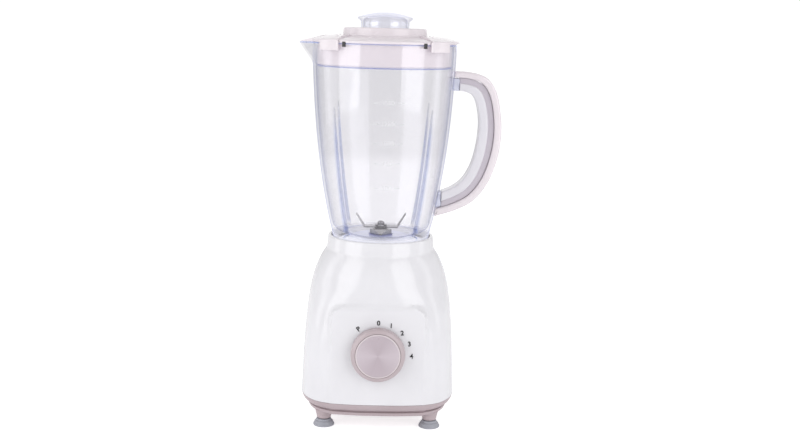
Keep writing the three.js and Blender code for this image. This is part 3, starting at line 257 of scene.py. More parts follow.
def spunDisc():
    # the dial's inlay: fine rays from the centre of a spun finish, with painted sheen in paler and darker
    # wedges and a darker middle, and a painted highlight on the ring over its rounded edge
    low, high = extent("knob_face")
    centre = (low + high) / 2
    made = Finish("spun_inlay_painted_sheen", Metallic=0.25, Coat_Weight=0.15, Coat_Roughness=0.2)
    across, _, up = made.parts(made.place(centre))
    turn = across.maths("ARCTAN2", up, across)
    rays = made.node("TexNoise", {"noise_dimensions": "1D"}, {"W": turn, "Scale": 26.0, "Detail": 4.0})
    # painted sheen: the wedges and arms by angle and the darker middle paint the light on a spun face
    paintedSheenWedges = turn.maths("COSINE", turn * 2.0 - pi) * 0.5 + 0.5
    paintedSheenArms = (turn.maths("COSINE", turn * 2.0).size() ** 6.0) * 0.35
    away = (across * across + up * up).root()
    near = (1.0 - away / 22.0).clamped()
    shade = (paintedSheenWedges * 0.55 + rays * 0.3 + near * 0.15 - paintedSheenArms * 0.3).clamped()
    # painted highlight: the outer ring over the disc's rounded edge is paler
    ring = ((away - 20.4) * 2.5).clamped()
    spun = made.blend(shade, tone(203, 192, 199), tone(179, 165, 173))
    return made.wear(Base_Color=made.blend(ring * 0.8, spun, tone(222, 212, 214)),
                     Roughness=(0.34 + rays * 0.14), Normal=made.bump(rays, 0.12, mm * 0.05))


def matt(name, light, dark, roughness=0.6, clear=1.0):
    made = Finish(name, Alpha=clear, Specular_IOR_Level=0.4)
    spot = made.place()
    fine, cloud = made.noise(spot, 0.9, 4.0), made.noise(spot, 0.08)
    return made.wear(Base_Color=made.blend(cloud, light, dark),
                     Roughness=(roughness + (fine - 0.5) * 0.2), Normal=made.bump(fine, 0.3))


rimRadius = extent("jar")[1].y
white = moulded("gloss_white", tone(230, 229, 233), tone(225, 224, 228), 0.2, 0.008, 6.0, 0.35)
taupe = moulded("taupe_plastic", tone(186, 171, 175), tone(178, 163, 167), 0.36, 0.04)
knobTaupe = moulded("dial_plastic", tone(189, 175, 179), tone(181, 167, 171), 0.32, 0.02, 1.4, 0.2)
creamTones = tone(231, 223, 228), tone(226, 218, 223)
cream = moulded("lid_plastic", *creamTones, 0.26, 0.004, 3.0, 0.3)
# the lid's skirt: lid plastic with a painted glow below the rim, to brighten it behind the jug's wall
skirtCreamPaintedGlow = moulded("lid_skirt_painted_glow", *creamTones, 0.26, 0.004, 3.0, 0.3, 0.2, paintedGlowBelow=375.5)
# the handle's core between shell and grip: a darker grey that is painted shade of its recess
coreShadeGrey = moulded("grip_core_shaded_plastic", tone(204, 197, 206), tone(198, 191, 201), 0.34, 0.01, 3.0, 0.2)
gripGrey = moulded("grip_plastic", tone(222, 220, 226), tone(216, 214, 221), 0.3, 0.015, 3.0, 0.3)
clear = clearPlastic("clear_plastic", tone(128, 146, 230), (0.916, 0.913, 0.923, 1), thickFrom=178,
                     thickUpTo=189, ribsUpTo=316, dishRim=37, lipFrom=extent("jar")[1].z - 1.3)
clearCap = clearPlastic("cap_plastic", tone(124, 132, 208), (0.925, 0.925, 0.95, 1), 0.08)
milky = matt("milky_plastic", tone(222, 224, 241), tone(213, 217, 238), 0.25, 0.75)
inlay = spunDisc()
footGrey = matt("foot_rubber", tone(170, 171, 179), tone(148, 150, 160), 0.42)
silicone = matt("silicone", tone(176, 180, 226), tone(160, 166, 216), 0.4)
blackPlastic = moulded("black_plastic", tone(52, 50, 52), tone(40, 38, 40), 0.4, 0.2)
ink = matt("dial_ink", tone(16, 15, 17), tone(9, 9, 10), 0.5)
markInk = matt("mark_ink", tone(250, 250, 252), tone(240, 240, 244), 0.5, 0.2)
steel = turnedMetal("ground_steel", tone(205, 204, 206), tone(150, 149, 152), 0.24, "x")
shaftSteel = turnedMetal("turned_steel", tone(200, 200, 202), tone(150, 150, 153), 0.22, "round")
brass = turnedMetal("brass", tone(212, 178, 104), tone(168, 132, 66), 0.28, "round")
copper, laminated = wound(), stacked()
carbon = matt("carbon", tone(58, 57, 58), tone(38, 37, 38), 0.7)
print("finishes made")


# shapes and joins that several pieces share
def arc(*corners, count=12):
    # points on the curve through four handles, or three
    handles = [Vector((*corner, 0)) for corner in corners]
    if len(handles) == 3:
        start, middle, end = handles
        handles = [start, start.lerp(middle, 2 / 3), end.lerp(middle, 2 / 3), end]
    return [(at.x, at.y) for at in interpolate_bezier(*handles, count)]


def dense(points, step):
    # the same line with its long stretches cut into short ones
    line = [tuple(points[0][:2])]
    for (r0, z0), (r1, z1) in zip([p[:2] for p in points], [p[:2] for p in points[1:]]):
        cuts = max(1, round(hypot(r1 - r0, z1 - z0) / step))
        line += [(r0 + (r1 - r0) * i / cuts, z0 + (z1 - z0) * i / cuts) for i in range(1, cuts + 1)]
    return line


def turned(outline, steps=128, closed=True, segments=4):
    # spins an outline of (radius, height) round Z; a third number rounds that corner
    bm = bmesh.new()
    verts = [bm.verts.new((spot[0], 0, spot[1])) for spot in outline]
    pairs = list(zip(verts, verts[1:])) + ([(verts[-1], verts[0])] if closed else [])
    for pair in pairs:
        bm.edges.new(pair)
    for radius in sorted({spot[2] for spot in outline if len(spot) > 2}):
        corners = [vert for vert, spot in zip(verts, outline) if len(spot) > 2 and spot[2] == radius]
        bmesh.ops.bevel(bm, geom=corners, offset=radius, offset_type="OFFSET", segments=segments,
                        profile=0.5, affect="VERTICES", material=-1)
    bmesh.ops.spin(bm, geom=bm.verts[:] + bm.edges[:], axis=(0, 0, 1), cent=(0, 0, 0), steps=steps,
                   angle=2 * pi, use_merge=True)
    bmesh.ops.remove_doubles(bm, verts=bm.verts, dist=0.001)
    bmesh.ops.recalc_face_normals(bm, faces=bm.faces)
    return bm


def placed(bm, matrix):
    bmesh.ops.transform(bm, matrix=matrix, verts=bm.verts)
    return bm


def around(degrees):
    return Matrix.Rotation(radians(degrees), 4, "Z")


def meshOf(bm, name):
    mesh = bpy.data.meshes.new(name)
    bm.to_mesh(mesh)
    bm.free()
    return mesh


def shown(name, data):
    made = bpy.data.objects.new(name, data)
    bpy.context.scene.collection.objects.link(made)
    return made


def added(bm, other, matrix=None):
    # joins another shape to this one
    if matrix is not None:
        placed(other, matrix)
    mesh = meshOf(other, "joined")
    bm.from_mesh(mesh)
    bpy.data.meshes.remove(mesh)
    return bm


def softened(bm, offset, segments=3, above=30):
    # rounds every edge that is sharper than an angle
    sharp = [edge for edge in bm.edges
             if len(edge.link_faces) == 2 and edge.calc_face_angle(0) > radians(above)]
    bmesh.ops.bevel(bm, geom=sharp, offset=offset, offset_type="OFFSET", segments=segments, profile=0.5,
                    affect="EDGES", material=-1, clamp_overlap=True)
    return bm


def block(low, high, rounding=0.0, cuts=0):
    bm = bmesh.new()
    size = Vector(high) - Vector(low)
    middle = (Vector(high) + Vector(low)) / 2
    bmesh.ops.create_cube(bm, size=1, matrix=Matrix.Translation(middle) @ Matrix.Diagonal((*size, 1)))
    if rounding:
        softened(bm, rounding)
    if cuts:
        upright = [e for e in bm.edges if abs(e.verts[0].co.z - e.verts[1].co.z) > 1]
        bmesh.ops.subdivide_edges(bm, edges=upright, cuts=cuts, use_grid_fill=True)
    return bm


def slab(outline, bottom, top, rounding=0.0, segments=3):
    # a flat outline of (x, y), raised between two heights
    bm = bmesh.new()
    face = bm.faces.new([bm.verts.new((x, y, bottom)) for x, y in outline])
    grown = bmesh.ops.extrude_face_region(bm, geom=[face], use_keep_orig=True)
    lifted = [item for item in grown["geom"] if isinstance(item, bmesh.types.BMVert)]
    bmesh.ops.translate(bm, verts=lifted, vec=(0, 0, top - bottom))
    bmesh.ops.recalc_face_normals(bm, faces=bm.faces)
    if rounding:
        softened(bm, rounding, segments)
    return bm


def cutOff(bm, point, normal):
    # takes away what lies beyond a plane and closes the cut
    geom = bm.verts[:] + bm.edges[:] + bm.faces[:]
    cut = bmesh.ops.bisect_plane(bm, geom=geom, plane_co=point, plane_no=normal, clear_outer=True,
                                 dist=0.001)
    rim = [item for item in cut["geom_cut"] if isinstance(item, bmesh.types.BMEdge)]
    bmesh.ops.edgeloop_fill(bm, edges=rim)
    return bm


def piece(bm, name, body, finish, stands=(), sharp=38):
    mesh = meshOf(placed(bm, toFrame), name)
    mesh.shade_smooth()
    mesh.set_sharp_from_angle(angle=radians(sharp))
    made = shown(name, mesh)
    mesh.materials.append(finish)
    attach(made, body)
    if stands:
        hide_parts(*stands)
    made.visible_diffuse = finish not in (clear, clearCap)      # soft light passes the clear pieces
    return made


def smoothStep(low, high, value):
    share = min(1.0, max(0.0, (value - low) / (high - low)))
    return share * share * (3 - 2 * share)


# the motor housing and its raised front panel
housing = dict(wall=2.6, shoulderRadius=73, shoulderHeight=75, neckRadius=53.2, neckHeight=13.5,
               rimRound=1.5, seatRadius=49.9, seatDepth=20.5, floor=3, driveHole=9, squareness=3.3,
               seamGap=0.3, steps=256, fine=1.7)
seatKeys = dict(turns=(45, 135, 225, 315), width=5, depth=2.2, height=9)
panel = dict(halfWidth=46.8, top=126, corner=13, bow=322, lean=1.3, step=1.3, fade=24, crisp=0.7,
             knobGap=1.0)

housingHigh = extent("housing")[1]
coverLow, coverHigh = extent("bottom_cover")
knobLow, knobHigh = extent("knob")
halfWidth, halfDepth, neckTop = housingHigh.x, housingHigh.y, housingHigh.z
seam = coverHigh.z + housing["seamGap"]
seatFloor = neckTop - housing["seatDepth"]
shoulderStart = neckTop - housing["shoulderHeight"]
knobHeight = (knobLow.z + knobHigh.z) / 2
panelMiddle = knobHigh.y + panel["knobGap"]
depthShare = halfDepth / halfWidth


def squared(bm):
    # a round shape pressed to the housing's rounded square, which is a circle again at the neck
    start = seam + (shoulderStart - seam) * 0.4
    end = seatFloor - housing["floor"] - 2
    for vert in bm.verts:
        x, y, z = vert.co
        radius = hypot(x, y)
        if radius < 0.001:
            continue
        share = 1 - smoothStep(start, end, z)
        power = 2 + (housing["squareness"] - 2) * share
        spread = (abs(x / radius) ** power + abs(y / radius) ** power) ** (-1 / power)
        vert.co.x, vert.co.y = x * spread, y * spread * (1 - (1 - depthShare) * share)
    return bm


def panelAt(x, z):
    # how far forward the flat front stands at a place on it
    bow = panel["bow"] - sqrt(panel["bow"] ** 2 - min(abs(x), 60) ** 2)
    return panelMiddle + (z - knobHeight) * tan(radians(panel["lean"])) + bow


def onPanel(x, z):
    # 1 on the raised panel, 0 off it, with a soft step at its edge
    inX = abs(x) - (panel["halfWidth"] - panel["corner"])
    inZ = z - (panel["top"] - panel["corner"])
    away = hypot(max(inX, 0), max(inZ, 0)) + min(max(inX, inZ), 0) - panel["corner"]
    crisp = 1 - smoothStep(-panel["step"], panel["step"], away)
    fading = 1 - smoothStep(-panel["step"], panel["fade"], away)
    return crisp * panel["crisp"] + fading * (1 - panel["crisp"])


def makeHousing():
    size = housing
    neckStart = neckTop - size["neckHeight"]
    side = arc((halfWidth, seam), (76.3, 56), (75.3, 85), (size["shoulderRadius"], shoulderStart), count=30)
    neckRadius = size["neckRadius"]
    shoulder = arc((size["shoulderRadius"], shoulderStart), (70.6, shoulderStart + 26.2),
                   (neckRadius + 12, neckStart - 14), (neckRadius + 1.2, neckStart), count=30)
    side += shoulder[1:]
    side = dense(side, size["fine"])
    inside = [(r - size["wall"], z) for r, z in side[::3] if z < seatFloor - size["floor"] - 1][::-1]
    underFloor = seatFloor - size["floor"]
    outline = side[:-1] + [
        (*side[-1], 1.5), (neckRadius - 0.2, neckTop, size["rimRound"]),
        (size["seatRadius"], neckTop, 1.2), (size["seatRadius"], seatFloor, 1.0),
        (size["driveHole"], seatFloor, 0.6), (size["driveHole"], underFloor, 0.6),
        (inside[0][0] - 2, underFloor),
    ] + inside + [(halfWidth - size["wall"], seam)]
    bm = squared(turned(outline, size["steps"]))
    bm.normal_update()
    for vert in bm.verts:
        x, y, z = vert.co
        atSeam = z < seam + 0.1 and hypot(x, y) > halfWidth - 1
        outside = vert.normal.x * x + vert.normal.y * y > 0 or atSeam
        if y < 0 and outside and z < panel["top"] + panel["fade"]:
            ahead = y - panelAt(x, z)
            if ahead > 0:
                vert.co.y -= ahead * onPanel(x, z)
    keys = seatKeys
    for turn in keys["turns"]:      # they stop the jug from turning in its seat
        key = block((size["seatRadius"] - keys["depth"], -keys["width"] / 2, seatFloor - 1),
                    (size["seatRadius"] + 1.5, keys["width"] / 2, seatFloor + keys["height"]), 0.6)
        added(bm, key, around(turn))
    piece(bm, "motor_housing", "base", white, ["housing"])


makeHousing()
print("housing made")


# the bottom cover with its legs, and the feet
cover = dict(floorBottom=15.6, floor=3, wall=2.6, inset=7, legRadius=7.5, ventSpan=(12, 34), ventSteps=5,
             vents=12, drain=5, steps=240)
feet = ["foot_" + corner for corner in ("front_left", "front_right", "back_left", "back_right")]


def makeCover():
    size = cover
    bottom, top = coverLow.z, coverHigh.z
    floorBottom = size["floorBottom"]
    lower = halfWidth - size["inset"]
    outline = [
        (lower, floorBottom, 1.2), (lower + 0.9, 19.2, 0.5),      # below the groove, then the groove
        (lower - 1.6, 19.6, 0.3), (lower - 1.0, 21.4, 0.4), (lower + 2.4, 21.8, 0.5),
    ]
    outline += arc((lower + 4, 22.8), (halfWidth - 0.4, 25.0), (halfWidth, top), count=8)
    outline += [
        (halfWidth - size["wall"], top), (halfWidth - size["wall"] - 1.6, 25.5, 1.5),
        (lower - 2.2, floorBottom + size["floor"] + 1.5, 1.0), (lower - 5, floorBottom + size["floor"]),
    ]
    slotIn, slotOut = size["ventSpan"]
    floorTop, drain = floorBottom + size["floor"], size["drain"]
    outline += [(r, floorTop) for r in (50, slotOut, slotIn, drain)]
    outline += [(r, floorBottom) for r in (drain, slotIn, slotOut, 50)]
    bm = squared(turned(outline, size["steps"]))
    for vert in bm.verts:
        x, y = vert.co.xy
        rho = (abs(x) ** housing["squareness"] + abs(y / depthShare) ** housing["squareness"])
        inset = halfWidth - rho ** (1 / housing["squareness"])
        if y < 0 and inset < 14:
            ahead = y - (panelAt(x, seam) + inset * depthShare)
            vert.co.y -= max(0, ahead) * onPanel(x, seam)
    perSlot = size["steps"] // size["vents"]
    for index in range(size["vents"]):
        start, stop = index * perSlot, index * perSlot + size["ventSteps"]
        angles = [2 * pi * step / size["steps"] for step in (start, stop)]
        faces = []
        for face in bm.faces:
            at = face.calc_center_median()
            turn = (at.to_2d().angle_signed(Vector((1, 0))) if at.to_2d().length > 1 else 0) % (2 * pi)
            if angles[0] < turn < angles[1] and slotIn < hypot(at.x, at.y) < slotOut + 0.6 and at.z < 20:
                faces.append(face)
        rims = [e for e in {edge for face in faces for edge in face.edges}
                if sum(link in faces for link in e.link_faces) == 1]
        bmesh.ops.delete(bm, geom=faces, context="FACES")
        rims = [e for e in rims if e.is_valid]
        if rims:
            bmesh.ops.bridge_loops(bm, edges=rims)
    for node in feet:
        low, high = extent(node)
        middle = (low + high) / 2
        legRadius = size["legRadius"]
        leg = turned([(0, bottom + 0.2), (legRadius - 0.8, bottom + 0.2, 0.7), (legRadius, 11, 1.5),
                      (legRadius + 1.4, floorBottom + 1), (0, floorBottom + 1)], 64, closed=False)
        added(bm, leg, Matrix.Translation((middle.x, middle.y, 0)))
    piece(bm, "bottom_shell", "base", taupe, ["bottom_cover"], sharp=30)


def makeFoot(node):
    low, high = extent(node)
    middle, radius, legBottom = (low + high) / 2, (high.x - low.x) / 2, coverLow.z
    outline = [(0, 0.9), (radius - 4, 0.9, 0.8), (radius - 2, 0, 0.5), (radius, 0, 0.7), (radius, 1.7, 0.6)]
    outline += arc((radius - 0.7, 2.3), (radius - 1.2, 4.6), (radius - 2.8, 5.2), count=6)
    outline += [(radius - 3.4, legBottom - 0.35, 0.5), (3, legBottom - 0.35), (3, high.z, 0.6), (0, high.z)]
    bm = turned(outline, 64, closed=False)
    bmesh.ops.translate(bm, verts=bm.verts, vec=(middle.x, middle.y, 0))
    piece(bm, node.replace("foot", "rubber_foot"), "base", footGrey, [node])


makeCover()
for foot in feet:
    makeFoot(foot)
print("bottom cover and feet made")


# the dial: knob, inlay and printed scale
dial = dict(rim=4.7, draft=0.5, faceDrop=0.9, lineHeights=(2.2, 3.6), steps=160)
scaleMarks = dict(size=6.5, radius=32.6, drop=2.6, thickness=0.34, weight=0.022,
                  letters=(("P", 126, 37), ("0", 90, 0), ("1", 68, -3), ("2", 45, 5), ("3", 22, 6),
                           ("4", 0, 3)))      # mark, turn from the right, tilt


def atKnob(reach):
    # from a shape made along +Z to one facing the front, its back at a depth
    return Matrix.Translation((0, reach, knobHeight)) @ front


def makeKnob():
    size = dial
    radius, length = (knobHigh.x - knobLow.x) / 2, knobHigh.y - knobLow.y
    faceRadius = radius - size["rim"]
    outline = [(0, 0), (radius - 0.6, 0, 0.5), (radius, 0.9, 0.5)]
    for height in size["lineHeights"]:      # fine lines round the side
        outline += [(radius - 0.05, height - 0.3, 0.15), (radius - 0.4, height, 0.15),
                    (radius - 0.1, height + 0.3, 0.15)]
    outline += [
        (radius - size["draft"], length - 2.2, 1.0), (faceRadius + 1.3, length - 0.3, 0.7),
        (faceRadius + 0.3, length - 0.3, 0.25),
        (faceRadius, length - size["faceDrop"] - 1.5, 0.5), (0, length - size["faceDrop"] - 1.5),
    ]
    bm = turned(outline, size["steps"], closed=False)
    piece(placed(bm, atKnob(knobHigh.y)), "dial_knob", "dial", knobTaupe, ["knob"])
    faceLow, faceHigh = extent("knob_face")
    radius, length = faceRadius - 0.08, faceHigh.y - faceLow.y
    disc = turned([(0, 0.0), (radius, 0, 0.2), (radius, length - 0.15, 0.12), (radius - 0.7, length, 0.3),
                   (radius - 2.0, length - 0.3, 0.5), (0, length - 0.5)], size["steps"], closed=False)
    dot = bmesh.new()      # the pointer
    bmesh.ops.create_uvsphere(dot, u_segments=20, v_segments=10, radius=0.95)
    added(disc, dot, Matrix.Translation((0, radius - 4.4, length - 0.75)))
    piece(placed(disc, atKnob(faceHigh.y)), "dial_inlay", "dial", inlay, ["knob_face"])


def lettering(text, size, thickness, weight=0.012):
    # flat letters in the XZ plane, facing the front, centred on the origin
    curve = bpy.data.curves.new("letters", "FONT")
    curve.body, curve.size, curve.extrude = text, size, thickness / 2
    curve.align_x, curve.align_y, curve.offset = "CENTER", "CENTER", size * weight
    holder = shown("letters", curve)
    seen = holder.evaluated_get(bpy.context.evaluated_depsgraph_get())
    mesh = bpy.data.meshes.new_from_object(seen)
    bm = bmesh.new()
    bm.from_mesh(mesh)
    bpy.data.objects.remove(holder)
    bpy.data.curves.remove(curve)
    bpy.data.meshes.remove(mesh)
    bmesh.ops.remove_doubles(bm, verts=bm.verts, dist=0.0005)
    return placed(bm, front)


def makeScale():
    size = scaleMarks
    bm = bmesh.new()
    for letter, turn, tilt in size["letters"]:
        middle = knobHeight - size["drop"]
        at = (size["radius"] * cos(radians(turn)), 0, middle + size["radius"] * sin(radians(turn)))
        place = Matrix.Translation(at) @ Matrix.Rotation(-radians(tilt), 4, "Y")
        added(bm, lettering(letter, size["size"], size["thickness"], size["weight"]), place)
    for vert in bm.verts:      # laid on the bowed panel
        vert.co.y += panelAt(vert.co.x, vert.co.z) - size["thickness"] / 2
    piece(bm, "dial_scale", "base", ink)


makeKnob()
makeScale()
print("dial made")


# the cord's inlet in the back wall
gland = dict(bore=3.6, neck=5.1, lean=0.9935)


def makeGland():
    low, high = extent("cord_gland")
    radius, height = (high.x - low.x) / 2, (high.z + low.z) / 2
    bore, neck = gland["bore"], gland["neck"]
    wallBack = halfDepth * gland["lean"]
    outline = [(bore, low.y, 0.4), (radius, low.y, 0.5), (radius, wallBack - 3.2, 0.4),
               (neck, wallBack - 3.2), (neck, wallBack + 0.5), (radius, wallBack + 0.5, 0.4),
               (radius - 0.6, wallBack + 2.2, 0.8), (bore + 1.9, wallBack + 2.4, 0.4),
               (bore + 1.6, high.y, 0.6), (bore, high.y, 0.4)]
    bm = turned(outline, 48)
    toBack = Matrix.Translation((0, 0, height)) @ Matrix.Rotation(-pi / 2, 4, "X")
    piece(placed(bm, toBack), "cord_grommet", "base", footGrey, ["cord_gland"])


makeGland()
print("cord inlet made")


# the jug, its handle and the blades' fixing
jug = dict(wall=2.6, footStep=1.5, baseRadius=49.1, wallStart=186.5, bulge=0.4, bulgeStep=2.6,
           floorBottom=180.2, floorTop=184.2, dishRadius=33.6, dishRise=3.6, dishCorner=10, blade=7.3,
           ribs=(45, 135, 225, 315), ribWidth=1.3, ribDepth=3.2, ribHeight=128, spoutHalf=19, spoutDrop=20,
           steps=224, fine=3.0)
jarLow, jarHigh = extent("jar")
rimTop, footBottom = jarHigh.z, jarLow.z
spoutReach = -jarLow.x
bulgeTop = jug["wallStart"] + jug["bulge"] * (rimTop - jug["wallStart"])
wallLine = arc((jug["baseRadius"], jug["wallStart"]), (rimRadius - jug["bulgeStep"], bulgeTop),
               (rimRadius, rimTop), count=64)


def jarRadius(height):
    # the jug's outer radius at a height on its wall
    for (r0, z0), (r1, z1) in zip(wallLine, wallLine[1:]):
        if height <= z1:
            return r0 + (r1 - r0) * max(0, height - z0) / (z1 - z0)
    return rimRadius


def drawSpout(bm, reach):
    # pulls the wall out to the pouring lip on the left
    for vert in bm.verts:
        x, y, z = vert.co
        rise = min(1.0, (z - (rimTop - jug["spoutDrop"])) / jug["spoutDrop"])
        half = jug["spoutHalf"] * rise
        if x < 0 and rise > 0 and abs(y) < half:
            share = (1 - abs(y) / half) ** 1.15
            vert.co.x -= (reach - rimRadius) * rise * share
    return bm


def makeRib(turn):
    size = jug
    bottom = size["floorTop"] + size["dishRise"] - 0.6
    bm = block((0, -size["ribWidth"] / 2, 0), (1, size["ribWidth"] / 2, size["ribHeight"]), 0, 40)
    for vert in bm.verts:
        share = vert.co.z / size["ribHeight"]
        z = bottom + vert.co.z
        outer = jarRadius(z) - size["wall"] / 2
        depth = size["ribDepth"] * (1 - share) ** 0.55 * min(1, 0.75 + 8 * share) + size["wall"] / 2
        vert.co.y *= 1 - 0.35 * share * (1 - vert.co.x)
        vert.co.x = outer - (1 - vert.co.x) * depth
        vert.co.z = z
    softened(bm, 0.5, 2, 50)
    bmesh.ops.rotate(bm, verts=bm.verts, cent=(0, 0, 0), matrix=Matrix.Rotation(radians(turn), 3, "Z"))
    return bm


# the handle's two edges, from the upper lug to the lower one: (out from the rim, down from the rim)
handle = dict(width=24, cover=0.32, webFrom=0.34, webTo=0.64, web=16, grip=0.6, gripWidth=22, lugInset=5,
              upper=25.2, lower=170.5, armHeight=19, footHeight=24, upperLug=3.5, lowerLug=-11.5, steps=72)
outerEdge = [(14, 26), (30, 30.8), (40.3, 45), (45.3, 68), (46.3, 90), (42.8, 113), (34.3, 136),
             (20.8, 153.5), (3, 163.4)]
innerEdge = [(9, 45), (17.8, 50), (22.3, 62), (24.2, 78), (22.3, 99), (17.3, 118), (9.3, 132.5),
             (-1.2, 141)]


def smoothLine(points, count):
    # a smooth line through points, cut into equal lengths
    ends = [points[0] * 2 - points[1], *points, points[-1] * 2 - points[-2]]
    line = []
    for before, start, stop, after in zip(ends, ends[1:], ends[2:], ends[3:]):
        hold, release = start + (stop - before) / 6, stop - (after - start) / 6
        line += interpolate_bezier(start, hold, release, stop, 17)[:-1]
    line.append(points[-1])
    gaps = [(b - a).length for a, b in zip(line, line[1:])]
    spaced, walked, index = [line[0]], 0.0, 0
    for step in range(1, count):
        goal = sum(gaps) * step / count
        while walked + gaps[index] < goal:
            walked += gaps[index]
            index += 1
        spaced.append(line[index].lerp(line[index + 1], (goal - walked) / gaps[index]))
    return spaced + [line[-1]]


def handleEdge(pairs, first, last):
    spots = [Vector((jarRadius(rimTop - first) - 1.3, 0, rimTop - first))]
    spots += [Vector((rimRadius + out, 0, rimTop - down)) for out, down in pairs]
    spots.append(Vector((jarRadius(rimTop - last) - 1.3, 0, rimTop - last)))
    return smoothLine(spots, handle["steps"])


outerLine = handleEdge(outerEdge, handle["upper"], handle["lower"])
innerLine = handleEdge(innerEdge, handle["upper"] + handle["armHeight"],
                       handle["lower"] - handle["footHeight"])
handleMiddle = rimTop - (handle["upper"] + handle["lower"]) / 2


def handleBand(first, last, width, rounding):
    # a bar along the handle between two shares of its thickness
    bm = bmesh.new()
    chains = []
    for share in (first, last):
        verts = [bm.verts.new(a.lerp(b, share) - Vector((0, width / 2, 0)))
                 for a, b in zip(outerLine, innerLine)]
        chains += [bm.edges.new(pair) for pair in zip(verts, verts[1:])]
    bridged = bmesh.ops.bridge_loops(bm, edges=chains)
    grown = bmesh.ops.extrude_face_region(bm, geom=bridged["faces"], use_keep_orig=True)
    lifted = [item for item in grown["geom"] if isinstance(item, bmesh.types.BMVert)]
    bmesh.ops.translate(bm, verts=lifted, vec=(0, width, 0))
    bmesh.ops.recalc_face_normals(bm, faces=bm.faces)
    if rounding:
        softened(bm, rounding, 4, 40)
    return bm


def clearOfJar(bm, room):
    # stops a bar's ends at the jug's wall
    for vert in bm.verts:
        limit = sqrt(max(0, (jarRadius(vert.co.z) + room) ** 2 - vert.co.y ** 2))
        vert.co.x = max(vert.co.x, limit)
    return bm


def makeLugs():
    size = handle
    bm = bmesh.new()
    for reach, side in ((size["upperLug"], -1), (size["lowerLug"], 1)):
        lug = handleBand(size["cover"] + 0.05, 1, size["width"] - size["lugInset"], 0)
        cutOff(lug, (0, 0, handleMiddle), (0, 0, side))
        cutOff(lug, (rimRadius + reach, 0, 0), (1, 0, 0))
        bmesh.ops.remove_doubles(lug, verts=lug.verts, dist=0.01)
        bmesh.ops.recalc_face_normals(lug, faces=lug.faces)
        softened(lug, 0.8, 2, 50)
        added(bm, lug)
    piece(bm, "handle_lugs", "jug", milky, ["jar"], sharp=50)


def makeJar():
    size = jug
    dishTop = size["floorTop"] + size["dishRise"] + size["dishCorner"]
    foot = size["baseRadius"] - size["footStep"]
    hollow = foot - size["wall"] - 1
    inner = [(r - size["wall"], z) for r, z in wallLine if z > dishTop + 2][::-1]
    dish = size["floorTop"] + size["dishRise"]
    dishEdge = jarRadius(dishTop) - size["wall"]
    corner = arc((dishEdge, dishTop), (dishEdge - 3, dish), (size["dishRadius"], dish), count=10)
    outer = dense([(foot, footBottom + 6), (foot, 181)], size["fine"])[:-1]
    outline = [(foot - 1, footBottom, 0.4), (foot, footBottom + 1, 0.4)] + outer + [(foot, 181, 1.5)]
    outline += [(*wallLine[0], 1.5)] + dense(wallLine[2:-1], size["fine"]) + [(rimRadius, rimTop, 0.9)]
    outline += [(rimRadius - size["wall"], rimTop, 0.9)] + dense(inner[1:], size["fine"]) + corner
    outline += [(size["dishRadius"] - 6, size["floorTop"], 1.5), (size["blade"], size["floorTop"]),
                (size["blade"], size["floorBottom"]), (hollow - 2, size["floorBottom"], 1.5),
                (hollow, size["floorBottom"] - 3, 1.0), (hollow, footBottom, 0.5)]
    bm = drawSpout(turned(outline, size["steps"]), spoutReach)
    for turn in size["ribs"]:
        added(bm, makeRib(turn))
    piece(bm, "clear_jug", "jug", clear, ["jar"], sharp=32)


graduations = dict(marks=((1500, 321.7), (1250, 302.0), (1000, 283.3), (750, 264.0), (500, 240.2)),
                   size=6.4, centre=5.5, halfWide=8.4, halfNarrow=6.6, thickness=0.1, tick=(1.0, 5.0, 0.7))


def makeGraduations():
    size = graduations
    bm = bmesh.new()
    away, length, thick = size["tick"]
    for value, height in size["marks"]:
        wide = value > 999
        middle = size["centre"] if wide else size["centre"] - 1
        figures = lettering(str(value), size["size"], size["thickness"])
        added(bm, figures, Matrix.Translation((middle, 0, height)))
        half = size["halfWide"] if wide else size["halfNarrow"]
        for left in (middle - half - away - length, middle + half + away):
            added(bm, block((left, -size["thickness"] / 2, height - thick / 2),
                            (left + length, size["thickness"] / 2, height + thick / 2)))
    for vert in bm.verts:      # wrapped on the jug's front
        vert.co.y -= sqrt(jarRadius(vert.co.z) ** 2 - vert.co.x ** 2) + size["thickness"]
    piece(bm, "jug_graduations", "jug", markInk)


def makeHandle():
    size = handle
    shell = clearOfJar(handleBand(0, size["cover"], size["width"], 2.6), 0.6)
    piece(shell, "handle_shell", "jug", cream, ["handle_cover"], sharp=50)
    frameBar = handleBand(size["webFrom"], size["webTo"], size["web"], 0)
    grip = handleBand(size["grip"], 1, size["gripWidth"], 2.0)
    for bar in (frameBar, grip):
        for vert in bar.verts:
            reach = size["upperLug"] if vert.co.z > handleMiddle else size["lowerLug"]
            vert.co.x = max(vert.co.x, rimRadius + reach + 0.3)
    # the core lies in a recess; its darker grey is painted shade
    piece(frameBar, "handle_core", "jug", coreShadeGrey, ["handle_frame"], sharp=50)
    piece(grip, "handle_grip", "jug", gripGrey, ["handle_frame"], sharp=50)


bladeFixing = dict(share=0.6, hex=1.9, dome=1.3, chamfer=0.4)


